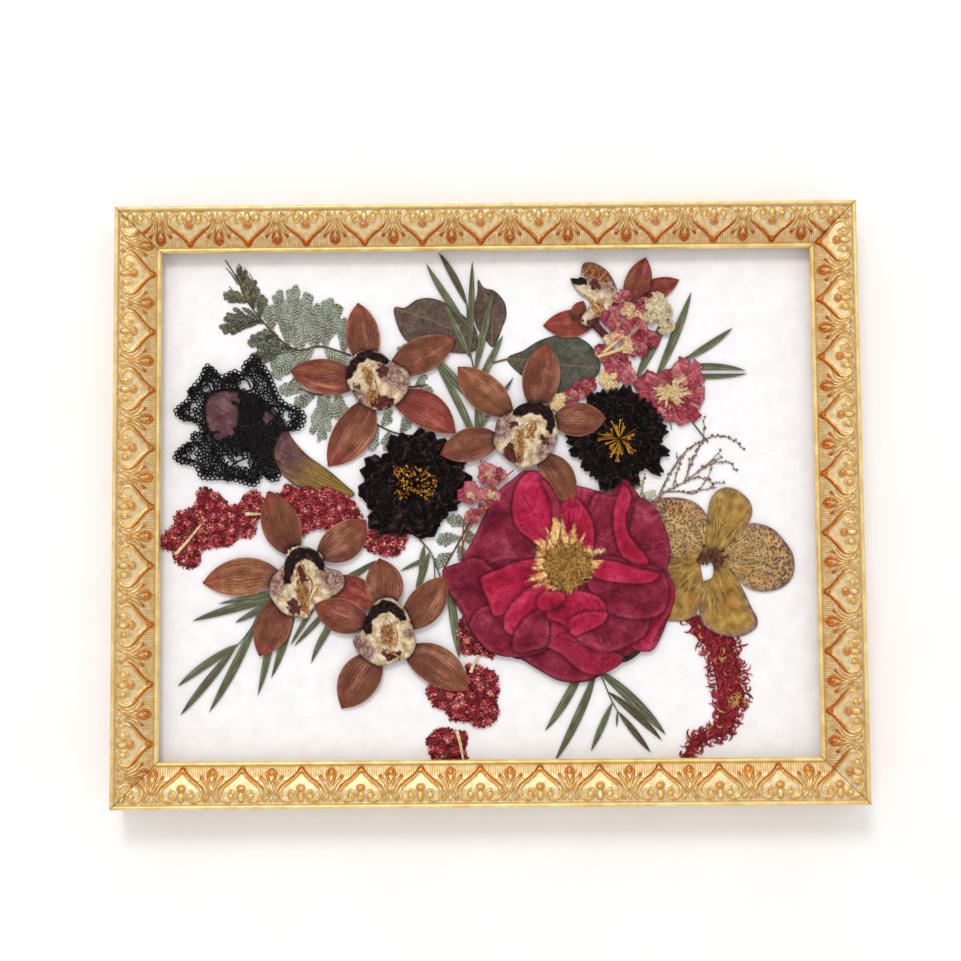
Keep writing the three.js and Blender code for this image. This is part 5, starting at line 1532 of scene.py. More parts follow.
def vanda_finish():
    f = Finish("vanda_petal", Specular_IOR_Level=0.2)
    radius, angle, tone, border, edge = (f.value(v) for v in ("along", "across", "tone", "mark", "kind"))
    spread = f.join(f.times(angle, 0.010), f.times(radius, 0.004), 0.0)
    fibre = f.noise(1.0, 3, 0.6, 0.2, spread)
    value = f.scaled(fibre, 0.4, f.times(f.noise(6, 4, 0.6), 0.6))
    olive = f.ramp(value, (0.15, (104, 74, 30)), (0.5, (162, 126, 60)), (0.85, (210, 176, 104)))
    pale = f.ramp(value, (0.15, (126, 94, 50)), (0.5, (184, 154, 98)), (0.85, (224, 204, 156)))
    base = f.mix(f.band(tone, 0.25, 0.6), olive, pale)
    base = f.tint(base, (176, 104, 34), f.band(f.noise(12, 3), 0.5, 0.9), 0.55)
    lines = f.creases(1.0, 0.08, f.join(f.times(angle, 0.013), f.times(radius, 0.0016), 2.0))
    lines = f.times(lines, f.band(radius, 1.3, 0.5))
    base = f.tint(base, (70, 44, 18), lines, 0.75)
    reach = f.scaled(tone, 0.56, f.times(f.noise(5, 2), 0.16))
    stain = f.scaled(f.noise(1.2, 3, 0.7), 0.30, f.spots(1.5))
    dots = f.band(f.minus(stain, f.plus(reach, 0.12)), 0.08, -0.06)
    purple = f.ramp(f.noise(7, 2), (0.25, (150, 74, 22)), (0.45, (90, 46, 34)), (0.7, (106, 74, 84)))
    base = f.tint(base, purple, dots, f.times(f.band(tone, 0.18, 0.4), 0.9))
    base = f.mix(f.times(border, 0.85), base,
                 f.ramp(f.noise(1.6, 3), (0.2, (72, 52, 62)), (0.5, (118, 92, 98)),
                        (0.8, (164, 140, 136))))
    base = f.tint(base, (96, 64, 42), f.band(edge, 0.7, 0.0), 0.6)
    heart = f.band(f.plus(radius, f.times(f.noise(2, 2), 0.12)), 0.38, 0.20)
    core = f.ramp(f.noise(1.8, 3), (0.2, (30, 16, 12)), (0.55, (84, 44, 26)), (0.85, (150, 92, 48)))
    f.dry_colour_painted_shade(f.tint(base, core, heart, 0.95))
    f.roughness(f.scaled(f.noise(2, 2), 0.2, 0.5))
    f.bump(f.plus(fibre, f.noise(0.9, 4, 0.6)), 0.2)
    return f.material


# ---- the calla spathe and the lace round it ----
CALLA = [(-149, 57), (-140, 61), (-130, 60), (-118, 56), (-108, 45), (-103, 35), (-95, 26), (-84, 18),
         (-76, 11), (-70, 5), (-77, 3), (-88, 5), (-100, 9), (-110, 17), (-120, 24), (-131, 30),
         (-143, 33), (-149, 43)]
CALLA_AXIS = ((-149, 48), (-72, 5))


def add_calla():
    piece = Piece("calla_pressed")
    (ax, az), (bx, bz) = CALLA_AXIS
    length = math.hypot(bx - ax, bz - az)
    ux, uz = (bx - ax) / length, (bz - az) / length

    def axes(x, z):
        return ((x - ax) * ux + (z - az) * uz) / length, (z - az) * ux - (x - ax) * uz

    def values(x, z, edge):
        along, across = axes(x, z)
        return {"along": along, "across": across, "tone": edge,
                "mark": ease(-6, -2, across - 12 * (along - 0.4))}

    def rise(x, z):
        along, across = axes(x, z)
        return 0.07 * np.sin(across * 2.1 + 2 * along) + 0.05 * np.sin(across * 4.3 + 1)

    add_sheet(piece, smooth_line(CALLA, 5, closed=True), layer_back(1), 0.75, values, relief=0.18,
              waves=0.12,
              wave_size=6, seed=5, rise=rise)
    return piece.make(calla_finish(), "calla_spathe", "calla_flower")


def calla_finish():
    f = Finish("calla_spathe", Specular_IOR_Level=0.2)
    along, across, edge = f.value("along"), f.value("across"), f.value("tone")
    fibre = f.noise(1.0, 4, 0.65, 0.2, f.join(f.times(across, 0.0016), f.times(along, 0.004)))
    plum = f.ramp(f.scaled(fibre, 0.5, f.times(f.noise(5, 3), 0.5)),
                  (0.15, (58, 28, 36)), (0.5, (98, 62, 66)), (0.85, (136, 104, 108)))
    olive = f.ramp(fibre, (0.15, (84, 56, 24)), (0.5, (136, 106, 48)), (0.85, (176, 152, 84)))
    wave = f.plus(along, f.times(f.minus(f.noise(9, 3), 0.5), 0.3))
    skin = f.mix(f.band(wave, 0.50, 0.84), plum, olive)
    skin = f.tint(skin, (52, 24, 28), f.creases(5, 0.04), 0.5)
    skin = f.tint(skin, (52, 30, 26), f.band(edge, 1.1, 0.1), 0.7)
    f.dry_colour_painted_shade(skin)
    f.roughness(f.scaled(fibre, 0.3, 0.4))
    f.bump(f.plus(fibre, f.noise(0.7, 4)), 0.25)
    return f.material


LACE_OUTLINE = [(-148, 74), (-141, 68), (-133, 71), (-129, 68), (-124, 79), (-116, 70), (-109, 55),
                (-98, 49), (-97, 44), (-100, 40), (-109, 39), (-114, 28), (-110, 15), (-114, 13),
                (-119, 17), (-123, 10.5), (-136, 14), (-150, 14.5), (-154, 21), (-165, 25), (-159, 32),
                (-152, 33), (-152, 43), (-165, 49), (-158, 56), (-156, 62), (-151, 68)]
# Where the net is open: windows that show what is under it, with how few rings they keep.
LACE_WINDOWS = [(0.02, [(-149, 57), (-141, 61), (-131, 60), (-131, 47), (-134, 36), (-144, 34),
                        (-149, 44)]),
                (0.03, [(-133, 68), (-124, 68), (-124, 61), (-131, 61)]),
                (0.15, [(-151, 66), (-145, 65), (-145, 60), (-150, 59)]),
                (0.15, [(-139, 25), (-127, 26), (-125, 20), (-136, 19)]),
                (0.10, [(-119, 49), (-111, 52), (-110, 43), (-118, 41)]),
                (0.45, [(-165, 28), (-153, 33), (-152, 22), (-162, 22)]),
                (0.45, [(-166, 52), (-157, 57), (-153, 50), (-158, 45)]),
                (0.45, [(-108, 52), (-98, 50), (-98, 42), (-108, 42)])]
# Rosettes of loops on the scalloped edge: centre, radius, loops, and the way they face in degrees.
ROSETTES = [((-147, 69), 4.6, 7, 100), ((-134.5, 66), 4.4, 7, 85), ((-124, 72), 6.0, 8, 90),
            ((-159, 49), 4.8, 7, 185),
            ((-160, 26), 4.6, 7, 180), ((-154, 36), 3.0, 5, 150), ((-102, 46), 4.4, 7, 15),
            ((-125, 15), 3.6, 6, 285),
            ((-115, 17), 3.2, 6, 290), ((-137, 15), 2.8, 5, 270), ((-148, 19), 3.4, 6, 250),
            ((-156, 60), 2.6, 5, 170)]
LACE_BARS = [[(-133, 62), (-131, 66), (-127, 66), (-125, 62)], [(-153, 61), (-148, 64), (-145, 58)],
             [(-141, 62), (-138, 66), (-133, 64)], [(-150, 63), (-146, 66), (-143, 62)],
             [(-119, 52), (-110, 45)], [(-139, 17), (-133, 22), (-126, 25)]]
LACE_MIDDLE = (-133, 42)
MOTIF_CENTRE, MOTIF_REACH = (-128, 36), 21
LACE_CORD_R = 0.42


def ring_line(x, z, radius, depth, rng, squash=1.0, turn=0.0, points=9):
    """A closed loop of cord, squashed and turned in the card's plane."""
    t = np.linspace(0, 2 * math.pi, points)
    dx, dz = radius * np.cos(t), radius * squash * np.sin(t)
    return np.stack([x + dx * math.cos(turn) - dz * math.sin(turn),
                     depth + 0.06 * np.sin(2 * t + rng.uniform(0, 6)),
                     z + dx * math.sin(turn) + dz * math.cos(turn)], 1)


def add_net(piece, inner, depth, rng):
    """Loops of cord for the net, with bent cords for the motifs round the middle."""
    def open_here(x, z):
        here = [keep for keep, window in LACE_WINDOWS if inside(np.array(x), np.array(z), window)]
        return rng.uniform() > min([1.0] + here)

    for x, z in scatter(inner, 1.6, rng):
        if not open_here(x, z):
            line = ring_line(x, z, rng.uniform(0.85, 1.25), depth - rng.uniform(0, 0.2), rng,
                             rng.uniform(0.7, 1.0),
                             rng.uniform(0, 3), 8)
            add_tube(piece, line, LACE_CORD_R * rng.uniform(0.85, 1.1), sides=4, tone=rng.uniform(0, 1))
    for x, z in scatter(inner, 2.3, rng):
        if math.hypot(x - MOTIF_CENTRE[0], z - MOTIF_CENTRE[1]) > MOTIF_REACH or open_here(x, z):
            continue
        heading, t = rng.uniform(0, 6.28), np.linspace(-1, 1, 6)
        sway = rng.uniform(0.5, 1.2) * np.sin(t * 2.6)
        line = np.stack([x + 2.2 * t * math.cos(heading) - sway * math.sin(heading),
                         depth - 0.3 - 0.1 * np.cos(t * 2),
                         z + 2.2 * t * math.sin(heading) + sway * math.cos(heading)], 1)
        add_tube(piece, line, LACE_CORD_R * 1.25, sides=4, flat=0.6, tone=rng.uniform(0, 1))


def add_rosettes(piece, depth, rng):
    for (x, z), size, loops, facing in ROSETTES:
        for k in range(loops):
            angle = math.radians(facing + (k - (loops - 1) / 2) * 250 / loops)
            cx, cz = x + size * 0.68 * math.cos(angle), z + size * 0.68 * math.sin(angle)
            line = ring_line(cx, cz, size * 0.32, depth - 0.3, rng, 0.66, angle, 11)
            add_tube(piece, line, LACE_CORD_R, sides=4, tone=rng.uniform(0, 1))
        a = np.linspace(0, 6.283, 12)
        rim = [x + size * 0.34 * np.cos(a), np.full(len(a), depth - 0.2), z + size * 0.34 * np.sin(a)]
        add_tube(piece, np.stack(rim, 1), LACE_CORD_R * 1.1, sides=4, tone=0.4)


def add_borders(piece, edge, middle, depth):
    """Thick cords round four windows, across them, and along the hem."""
    windows = [LACE_WINDOWS[k][1] for k in (0, 1, 2, 4)]
    borders = [(even_line(smooth_line(w, 3, closed=True) + [w[0]], 1.4), 1.6) for w in windows]
    borders += [(even_line(smooth_line(b, 4), 1.2), 1.3) for b in LACE_BARS]
    borders.append((even_line(shrink(edge + edge[:1], middle, 0.93), 1.3), 1.5))
    for line, thick in borders:
        points = [(px, depth - 0.12, pz) for px, pz in line]
        add_tube(piece, points, LACE_CORD_R * thick, sides=5, flat=0.7, tone=0.3)


def add_lace():
    piece = Piece("lace_cords")
    rng = np.random.default_rng(4)
    depth = layer_back(2) - 0.55
    edge = smooth_line(LACE_OUTLINE, 4, closed=True)
    middle = np.array(LACE_MIDDLE)
    add_net(piece, shrink(edge, middle, 0.94), depth, rng)
    for x, z in even_line(edge, 2.5, closed=True):
        add_tube(piece, ring_line(x, z, 1.15, depth - 0.15, rng, 0.9, 0.0, 9), LACE_CORD_R * 0.9, sides=4,
                 tone=0.5)
    add_rosettes(piece, depth, rng)
    add_borders(piece, edge, middle, depth)
    lace = piece.make(lace_finish(), "black_lace", "lace_wrap")


def lace_finish():
    f = Finish("lace_cord", Roughness=0.8, Specular_IOR_Level=0.15, Sheen_Weight=0.05)
    f.colour(f.ramp(f.noise(0.7, 3), (0.3, (4, 4, 5)), (0.7, (22, 21, 24))))
    f.bump(f.spots(0.4), 0.12)
    return f.material
# ---- seed heads ----
CELOSIAS = [
    (0, [(-153, 8), (-147, 9), (-139, 4), (-136, 0), (-131, 1), (-128, 6), (-122, 8), (-118, 3),
         (-117, -5), (-121, -9), (-124, -17), (-131, -18), (-136, -22), (-150, -24), (-152, -31),
         (-158, -34), (-165, -30), (-167, -25), (-172, -23), (-172, -16), (-167, -11), (-165, -4),
         (-160, -2), (-155, 0)],
     [[(-165, -26), (-160, -21), (-151, -10)], [(-128, -5), (-123, -5), (-118, -5)]]),
    (2, [(-117, 6), (-110, 6), (-106, 11), (-100, 8.5), (-95, 10), (-90, 8), (-85, 9.5), (-78, 6),
         (-72, 3), (-67, -3), (-67, -9), (-80, -13), (-92, -14), (-98, -17), (-103, -8), (-112, -2)], []),
    (1, [(-63, -14), (-67, -19), (-63, -25), (-53, -28), (-46, -26), (-42, -18), (-47, -13), (-56, -12)],
     []),
    (0, [(-13, -58), (-9, -60), (-8, -66), (-3, -73), (3, -78), (2, -82), (-6, -80), (-14, -80),
         (-16, -74), (-17, -66)],
     []),
    (1, [(-12, -84), (-3, -86), (4, -89), (5.5, -98), (4, -103), (5.5, -110), (2, -115), (-4, -118),
         (-12, -115), (-20, -114), (-23, -109), (-29, -107), (-33, -98), (-28, -94), (-18, -92),
         (-12, -89)],
     [[(-9.5, -89), (-8, -85), (-5, -80)]]),
    (0, [(-24, -117), (-18, -119), (-12, -120), (-12, -128), (-12.5, -137), (-28, -137), (-32, -129),
         (-33, -123), (-29, -119)], [[(-17, -119), (-15, -127), (-13.5, -136)]]),
]
LUMP_SPACING = 4.6                   # between the lumps of a seed head


def add_celosias():
    finish = celosia_finish()
    for number, (layer, outline, stalks) in enumerate(CELOSIAS, 1):
        piece = Piece(f"celosia_{number}_grains")
        rng = np.random.default_rng(100 + number)
        back = layer_back(layer)
        ring = smooth_line(outline, 4, closed=True)
        middle = np.array(outline).mean(0)
        lumps = np.array(scatter(ring, LUMP_SPACING, rng))

        def high(x, z, lumps=lumps):
            far = np.hypot(np.subtract.outer(x, lumps[:, 0]), np.subtract.outer(z, lumps[:, 1])).min(-1)
            return np.clip(1 - (far / (0.62 * LUMP_SPACING)) ** 2, 0, 1)

        floor = shrink(ring, middle, 0.96)
        def values(x, z, edge, high=high):
            up = high(x, z)
            # shade: painted shade in the hollows between lumps
            return {"tone": 0.35, "across": up, "kind": -1, "shade": 0.8 * (1 - up)}

        add_sheet(piece, floor, back, 1.1, values, relief=0.05, waves=0.0,
                  rise=lambda x, z, high=high: 0.5 * high(x, z))
        for x, z in scatter(ring, 1.2 * FINE ** 0.5, rng):
            top = float(high(np.array([x]), np.array([z]))[0])
            # tone rises and shade falls with lump height: painted light on the lump tops, painted shade
            # between them
            tone = np.clip(rng.normal(0.36, 0.16) + 0.45 * top, 0, 1)
            add_grain(piece, x, back - 0.28 - 0.55 * top, z, rng.uniform(0.5, 0.95), 0.55, rng, tone=tone,
                      kind=float(rng.uniform() < 0.05), shade=0.75 * (1 - top) ** 1.5)
        for stalk in stalks:
            add_stem(piece, stalk, back - 0.95, 1.2, 1.0, 0.5, sides=8, flat=0.5, kind=2, tone=0.8)
        piece.make(finish, "celosia", f"celosia_{number}", angle=180)


def celosia_finish():
    f = Finish("celosia_grain", Specular_IOR_Level=0.2)
    up, tone, kind = f.value("across"), f.value("tone"), f.value("kind")
    floor = f.band(kind, -0.4, -0.6)
    cell = f.spots(0.85)
    value = f.scaled(f.noise(0.9, 3), 0.4, f.times(tone, 0.6))
    value = f.scaled(f.noise(7, 2), 0.25, f.minus(value, 0.1))
    grain = f.ramp(value, (0.1, (124, 16, 32)), (0.33, (184, 40, 60)), (0.58, (216, 82, 92)),
                   (0.85, (240, 160, 150)))
    # painted highlight: pale tint on one side of each grain, strongest on lump tops
    top = f.times(f.band(up, 0.6, 1.0), f.band(tone, 0.45, 0.9))
    grain = f.tint(grain, (246, 200, 186), top, 0.75)
    # painted shade: dark red on the other side of each grain
    grain = f.mix(f.band(up, -0.1, -0.7), grain, (116, 14, 30))
    crumbs = f.ramp(cell, (0.1, (232, 130, 124)), (0.35, (198, 52, 70)), (0.6, (130, 16, 34)),
                    (0.8, (74, 6, 18)))
    grain = f.mix(floor, grain, f.mix(f.band(f.noise(4, 2), 0.6, 0.9), crumbs, (206, 140, 104)))
    husk = f.ramp(f.noise(1.2, 3), (0.2, (196, 140, 96)), (0.8, (244, 222, 182)))
    grain = f.tint(grain, husk, f.band(kind, 0.4, 0.6), 0.8)
    stalk = f.ramp(f.noise(1.6, 3), (0.2, (206, 176, 112)), (0.8, (244, 232, 192)))
    f.dry_colour_painted_shade(f.mix(f.band(kind, 1.4, 1.6), grain, stalk), 0.8)
    f.roughness(f.scaled(f.noise(1, 2), 0.2, 0.45))
    f.bump(f.minus(f.noise(0.5, 4), f.times(cell, floor)), 0.3)
    return f.material


TASSEL = [(100, -61), (112, -60), (124, -64), (132, -73), (131, -80), (134, -87), (133, -95), (136, -102),
          (131, -112), (128, -121), (122, -124), (112, -127), (104, -136), (98, -137), (103, -129),
          (105, -123), (113, -119), (119, -113), (118, -104), (117, -96), (115, -86), (114, -79),
          (109, -74), (106, -66)]
TASSEL_LINE = [(106, -63), (118, -72), (124, -84), (126, -97), (125, -109), (119, -119), (108, -126),
               (101, -134)]


def add_tassel():
    piece = Piece("amaranth_hairs")
    rng = np.random.default_rng(33)
    back = layer_back(0)
    ring = smooth_line(TASSEL, 4, closed=True)
    spine = np.array(smooth_line(TASSEL_LINE, 8))
    core = [tuple(spine[np.argmin(np.hypot(*(spine - p).T))] * 0.22 + np.array(p) * 0.78) for p in ring]
    add_sheet(piece, core, back, 1.2, lambda x, z, edge: {"tone": 0.3, "kind": -1}, relief=0.1,
              waves=0.12, wave_size=2)
    full = [tuple(spine[np.argmin(np.hypot(*(spine - p).T))] * 0.1 + np.array(p) * 0.9) for p in ring]
    for x, z in scatter(full, 1.3 * FINE ** 0.5, rng):
        near = np.argmin(np.hypot(*(spine - (x, z)).T))
        ahead = spine[min(near + 1, len(spine) - 1)] - spine[max(near - 1, 0)]
        away = np.array([x, z]) - spine[near]
        edge, _ = to_line(np.array(x), np.array(z), ring + ring[:1])
        rim = float(ease(5.0, 1.5, edge))
        outward = ahead / np.hypot(*ahead) * (1 - 0.45 * rim)
        outward = outward + away / max(np.hypot(*away), 0.5) * (0.4 + 0.8 * rim)
        heading = math.atan2(outward[1], outward[0]) + rng.normal(0, 0.8 - 0.4 * rim)
        size = rng.uniform(3.4, 6.4)
        curl = rng.uniform(0.6, 3.8) * rng.choice([-1, 1])
        t = np.linspace(0, 1, 8)
        step = heading + curl * t
        line_x = x + size * np.concatenate([[0], np.cumsum(np.cos(step[:-1]) / 7)])
        line_z = z + size * np.concatenate([[0], np.cumsum(np.sin(step[:-1]) / 7)])
        depth = back - 0.3 - rng.uniform(0, 0.35) * (1 - 0.5 * rim)
        yellow = math.hypot(x - 129, z + 103) < 3.6 or math.hypot(x - 121,
                                                                  z + 82) < 1.8 or rng.uniform() < 0.02
        # shade: painted shade on each hair towards its root
        add_tube(piece, np.stack([line_x, depth - 0.15 * np.sin(3 * t), line_z], 1),
                 rng.uniform(0.34, 0.62) * np.sin(0.6 + 2.3 * t), sides=4, flat=0.6,
                 tone=rng.uniform(0, 1),
                 kind=float(yellow), shade=0.6 * ease(0.4, 0.0, t))
    return piece.make(amaranth_finish(), "amaranth", "amaranth_tassel", angle=180)


def amaranth_finish():
    f = Finish("amaranth_hair", Roughness=0.65, Specular_IOR_Level=0.2)
    tone, kind = f.value("tone"), f.value("kind")
    hair = f.ramp(f.scaled(f.noise(1.2, 3), 0.45, f.times(tone, 0.55)),
                  (0.1, (84, 10, 24)), (0.4, (138, 24, 40)), (0.7, (176, 54, 62)), (1.0, (210, 108, 96)))
    hair = f.tint(hair, (160, 76, 44), f.band(f.noise(6, 2), 0.6, 0.9), 0.35)
    under = f.ramp(f.noise(1.0, 4, 0.7), (0.2, (70, 8, 20)), (0.8, (154, 36, 50)))
    hair = f.mix(f.band(kind, -0.4, -0.6), hair, under)
    f.dry_colour_painted_shade(f.tint(hair, (206, 168, 84), f.band(kind, 0.4, 0.6), 0.8))
    f.bump(f.noise(0.5, 3), 0.2)
    return f.material


# ---- silver foliage: each leaf has a stalk and lobes (base, tip, width) ----
SILVER_LEAVES = [
    ([(-72, 79), (-88, 84), (-100, 82), (-110, 88), (-119, 98), (-128, 110), (-132, 120), (-139, 131)],
     [((-120, 98), (-144, 95), 9), ((-118, 97), (-140, 103), 5), ((-127, 108), (-141, 113), 7),
      ((-128, 112), (-131, 129), 5), ((-124, 104), (-127, 123), 8), ((-120, 100), (-119, 113), 7),
      ((-114, 92), (-116, 107), 9), ((-106, 84), (-110, 117), 12), ((-100, 84), (-101, 120), 15),
      ((-92, 82), (-97, 107), 12), ((-86, 82), (-82, 112), 14), ((-76, 80), (-75, 101), 9),
      ((-100, 82), (-127, 80), 10),
      ((-98, 82), (-92, 114), 9), ((-104, 86), (-104, 104), 8), ((-90, 82), (-88, 105), 8),
      ((-108, 88), (-122, 92), 7),
      ((-112, 90), (-128, 86), 9), ((-96, 82), (-116, 68), 12), ((-92, 84), (-106, 70), 9),
      ((-86, 84), (-72, 72), 12)]),
    ([(-74, 62), (-88, 58), (-100, 62)],
     [((-96, 62), (-111, 62), 9), ((-90, 60), (-103, 52), 9), ((-84, 60), (-90, 31), 9),
      ((-80, 62), (-76, 42), 9),
      ((-98, 61), (-103, 68), 5), ((-90, 57), (-82, 44), 8)]),
    ([(-62, 44), (-50, 38), (-40, 36)],
     [((-58, 42), (-62, 27), 8), ((-52, 39), (-52, 26), 8), ((-46, 38), (-40, 47), 8),
      ((-56, 40), (-50, 50), 8)]),
    ([(-48, 62), (-40, 62), (-31, 63)],
     [((-46, 62), (-43, 87), 6), ((-38, 62), (-31, 68), 5), ((-36, 62), (-28, 58), 5),
      ((-46, 62), (-52, 74), 6)]),
    ([(-8, -8), (-16, -22), (-24, -36)],
     [((-10, -12), (-22, -8), 7), ((-14, -18), (-28, -20), 7), ((-18, -26), (-29, -34), 6),
      ((-16, -22), (-8, -34), 7),
      ((-11, -14), (-5, -24), 6)]),
]
# Curled bare ends at the first leaf's tip.
SILVER_CURLS = [[(-128, 110), (-130, 117), (-133, 126), (-131, 129)],
                [(-132, 118), (-136, 124), (-139, 127)],
                [(-126, 108), (-133, 112), (-140, 114)], [(-133, 112), (-137, 117)],
                [(-128, 112), (-124, 118), (-126, 124)],
                [(-130, 116), (-127, 121), (-129, 127)], [(-122, 102), (-119, 108), (-121, 114)]]
FROND_PITCH = 1.9                   # between one pinnule and the next
PINNULE_ROWS = (0.72, 1.0, 0.96)


def add_frond(piece, root, tip, width, back, seed, **values):
    """One division of a silver leaf: close pairs of narrow pinnules along a thin rib."""
    root, tip = np.array(root, float), np.array(tip, float)
    length = math.dist(root, tip)
    ahead = (tip - root) / length
    side = left_of(ahead)
    rows = max(int(length / FROND_PITCH), 3) * len(PINNULE_ROWS)
    t = np.linspace(0.0, 1.0, rows)
    s = np.array([-1, -0.5, 0, 0.5, 1])
    swell = np.sqrt(np.clip(np.interp(t, [0, 0.12, 0.45, 0.8, 1], [0.25, 0.6, 1.0, 0.75, 0.05]), 0, 1))
    notch = np.array([PINNULE_ROWS[k % len(PINNULE_ROWS)] for k in range(rows)])
    lattice_noise = noise(t * length, np.zeros(rows), 2.5, seed)
    half = 0.5 * width * swell * (notch * (0.82 + 0.36 * lattice_noise))
    along = t[:, None] * length * 0.86 + np.abs(s) * half[:, None] * 0.9
    bow = 0.04 * length * np.sin(t * 3) * (1 if seed % 2 else -1)
    across = s * half[:, None] + bow[:, None]
    x = root[0] + ahead[0] * along + side[0] * across
    z = root[1] + ahead[1] * along + side[1] * across
    lift = 0.10 * (notch[:, None] - 0.85) * np.abs(s) + 0.03 * (noise(x, z, 3, seed) - 0.5)
    y = back - SHEET_T - lift
    phase = np.broadcast_to((np.arange(rows) / len(PINNULE_ROWS))[:, None], x.shape)
    add_strip(piece, x, z, y, back, along=phase, across=np.broadcast_to(s, x.shape), **values)
    line = root + ahead * (t[::5, None] * length * 0.86) + side * bow[::5, None]
    points = np.stack([line[:, 0], np.full(len(line), back - SHEET_T - 0.12), line[:, 1]], 1)
    add_tube(piece, points, np.linspace(0.20, 0.07, len(line)), sides=4, kind=1,
             tone=values.get("tone", 0.0))


def nearest_on(line, point):
    """The place on a drawn line that lies nearest to a point."""
    points = np.array(even_line([tuple(p) for p in line], 0.5))
    return tuple(points[np.argmin(np.hypot(*(points - point).T))])


def add_silver_leaves():
    finish = silver_finish()
    for number, (stalk, lobes) in enumerate(SILVER_LEAVES, 1):
        piece = Piece(f"silver_leaf_{number}_pressed")
        rng = np.random.default_rng(50 + number)
        back = layer_back(0)
        for k, (base, tip, width) in enumerate(lobes):
            root = np.array(nearest_on(stalk, base))
            span = np.array(tip, float) - root
            length = np.hypot(*span)
            dark = min(float(tip[0] < -118) * 0.7 + rng.uniform(0, 0.3), 1.0)
            side = left_of(span)
            depth = back + 0.05 - 0.020 * k
            for place, (hand, start, reach) in enumerate(((-1, 0.10, 0.58), (1, 0.20, 0.56),
                                                          (-1, 0.42, 0.44), (1, 0.50, 0.40))):
                if length * reach < 5:
                    continue
                foot = root + start * span
                end = foot + reach * span + hand * side * reach * rng.uniform(0.30, 0.42)
                add_frond(piece, foot, end, width * rng.uniform(0.30, 0.38) + 1.2, depth - 0.02 * place,
                          number * 40 + k * 2, tone=dark, mark=rng.uniform(0, 9))
            add_frond(piece, root, root + span * 1.06, width * 0.42 + 1.2, depth - 0.09,
                      number * 40 + k * 2 + 1, tone=dark,
                      mark=rng.uniform(0, 9))
        add_stem(piece, stalk, back - 0.5, 1.5, 0.55, 0.3, sides=6, kind=1, tone=0.75)
        for curl in SILVER_CURLS if number == 1 else ():
            add_stem(piece, curl, back - 0.3, 1.0, 0.7, 0.2, sides=5, flat=0.4, kind=0, tone=1.0)
        piece.make(finish, "silver_foliage", f"silver_leaf_{number}", angle=70)


def silver_finish():
    f = Finish("silver_leaf", Roughness=0.9, Specular_IOR_Level=DRY_GLOSS, Sheen_Weight=0.05)
    phase, across, kind, tone = f.value("along"), f.value("across"), f.value("kind"), f.value("tone")
    aside = f.calc("ABSOLUTE", across)
    felt = f.ramp(f.noise(2.2, 5, 0.7), (0.15, (150, 160, 144)), (0.5, (194, 203, 188)),
                  (0.85, (226, 233, 220)))
    dull = f.ramp(f.noise(1.8, 5, 0.7), (0.15, (52, 52, 42)), (0.5, (100, 104, 88)),
                  (0.85, (160, 166, 146)))
    leaf = f.mix(tone, felt, dull)
    leaf = f.tint(leaf, (150, 146, 108), f.band(f.noise(9, 2), 0.55, 0.9), 0.45)
    place = f.calc("FRACT", f.plus(phase, f.times(f.noise(3, 2), 0.15)))
    # painted shade in the gaps between pinnules
    gap = f.times(f.band(f.calc("ABSOLUTE", f.minus(place, 0.5)), 0.14, 0.32),
                 f.band(aside, 0.06, 0.3))
    uneven = f.scaled(f.band(f.noise(5, 3), 0.25, 0.7), 0.55, 0.35)
    leaf = f.tint(leaf, (58, 62, 48), gap, uneven)
    # painted shade: darker along every frond's edges, to part overlapping fronds
    leaf = f.tint(leaf, (84, 88, 72), f.band(aside, 0.8, 1.0), 0.45)
    leaf = f.tint(leaf, (132, 118, 84), f.band(aside, 0.16, 0.04), 0.75)
    rib = f.ramp(tone, (0.0, (150, 134, 104)), (0.6, (104, 76, 58)), (1.0, (64, 42, 34)))
    f.dry_colour_painted_shade(f.mix(f.band(kind, 0.4, 0.6), leaf, rib))
    f.bump(f.minus(f.noise(0.6, 5, 0.7), gap), 0.3)
    return f.material


# ---- dark rounded leaves: outline, and the line of the midrib ----
DARK_LEAVES = [
    (1, [(-49, 104), (-43, 104.5), (-37, 108.5), (-30, 109.5), (-22, 107), (-12, 100), (-5, 92), (-6, 81),
         (-18, 80), (-30, 83), (-40, 85), (-46, 92)], [(-48, 104), (-28, 97), (-8, 88)], []),
    (0, [(-4, 119.5), (-1, 115), (5, 113), (10, 107), (11, 100), (9, 94), (4, 83), (-1, 88), (-5.5, 95),
         (-6, 105), (-4.5, 112)], [(-4, 119), (3, 103), (3, 84)], []),
    (0, [(11, 76), (20, 81), (28, 86), (38, 89), (47, 88.5), (55, 84), (60, 76), (60, 69), (53, 62),
         (44, 58.5), (34, 58), (23, 64)], [(12, 76), (34, 74), (60, 71)],
     [(1, 73.5), (8, 75.6), (14, 76.5), (30, 75),
                                                     (44, 72.5), (57, 71)]),
]


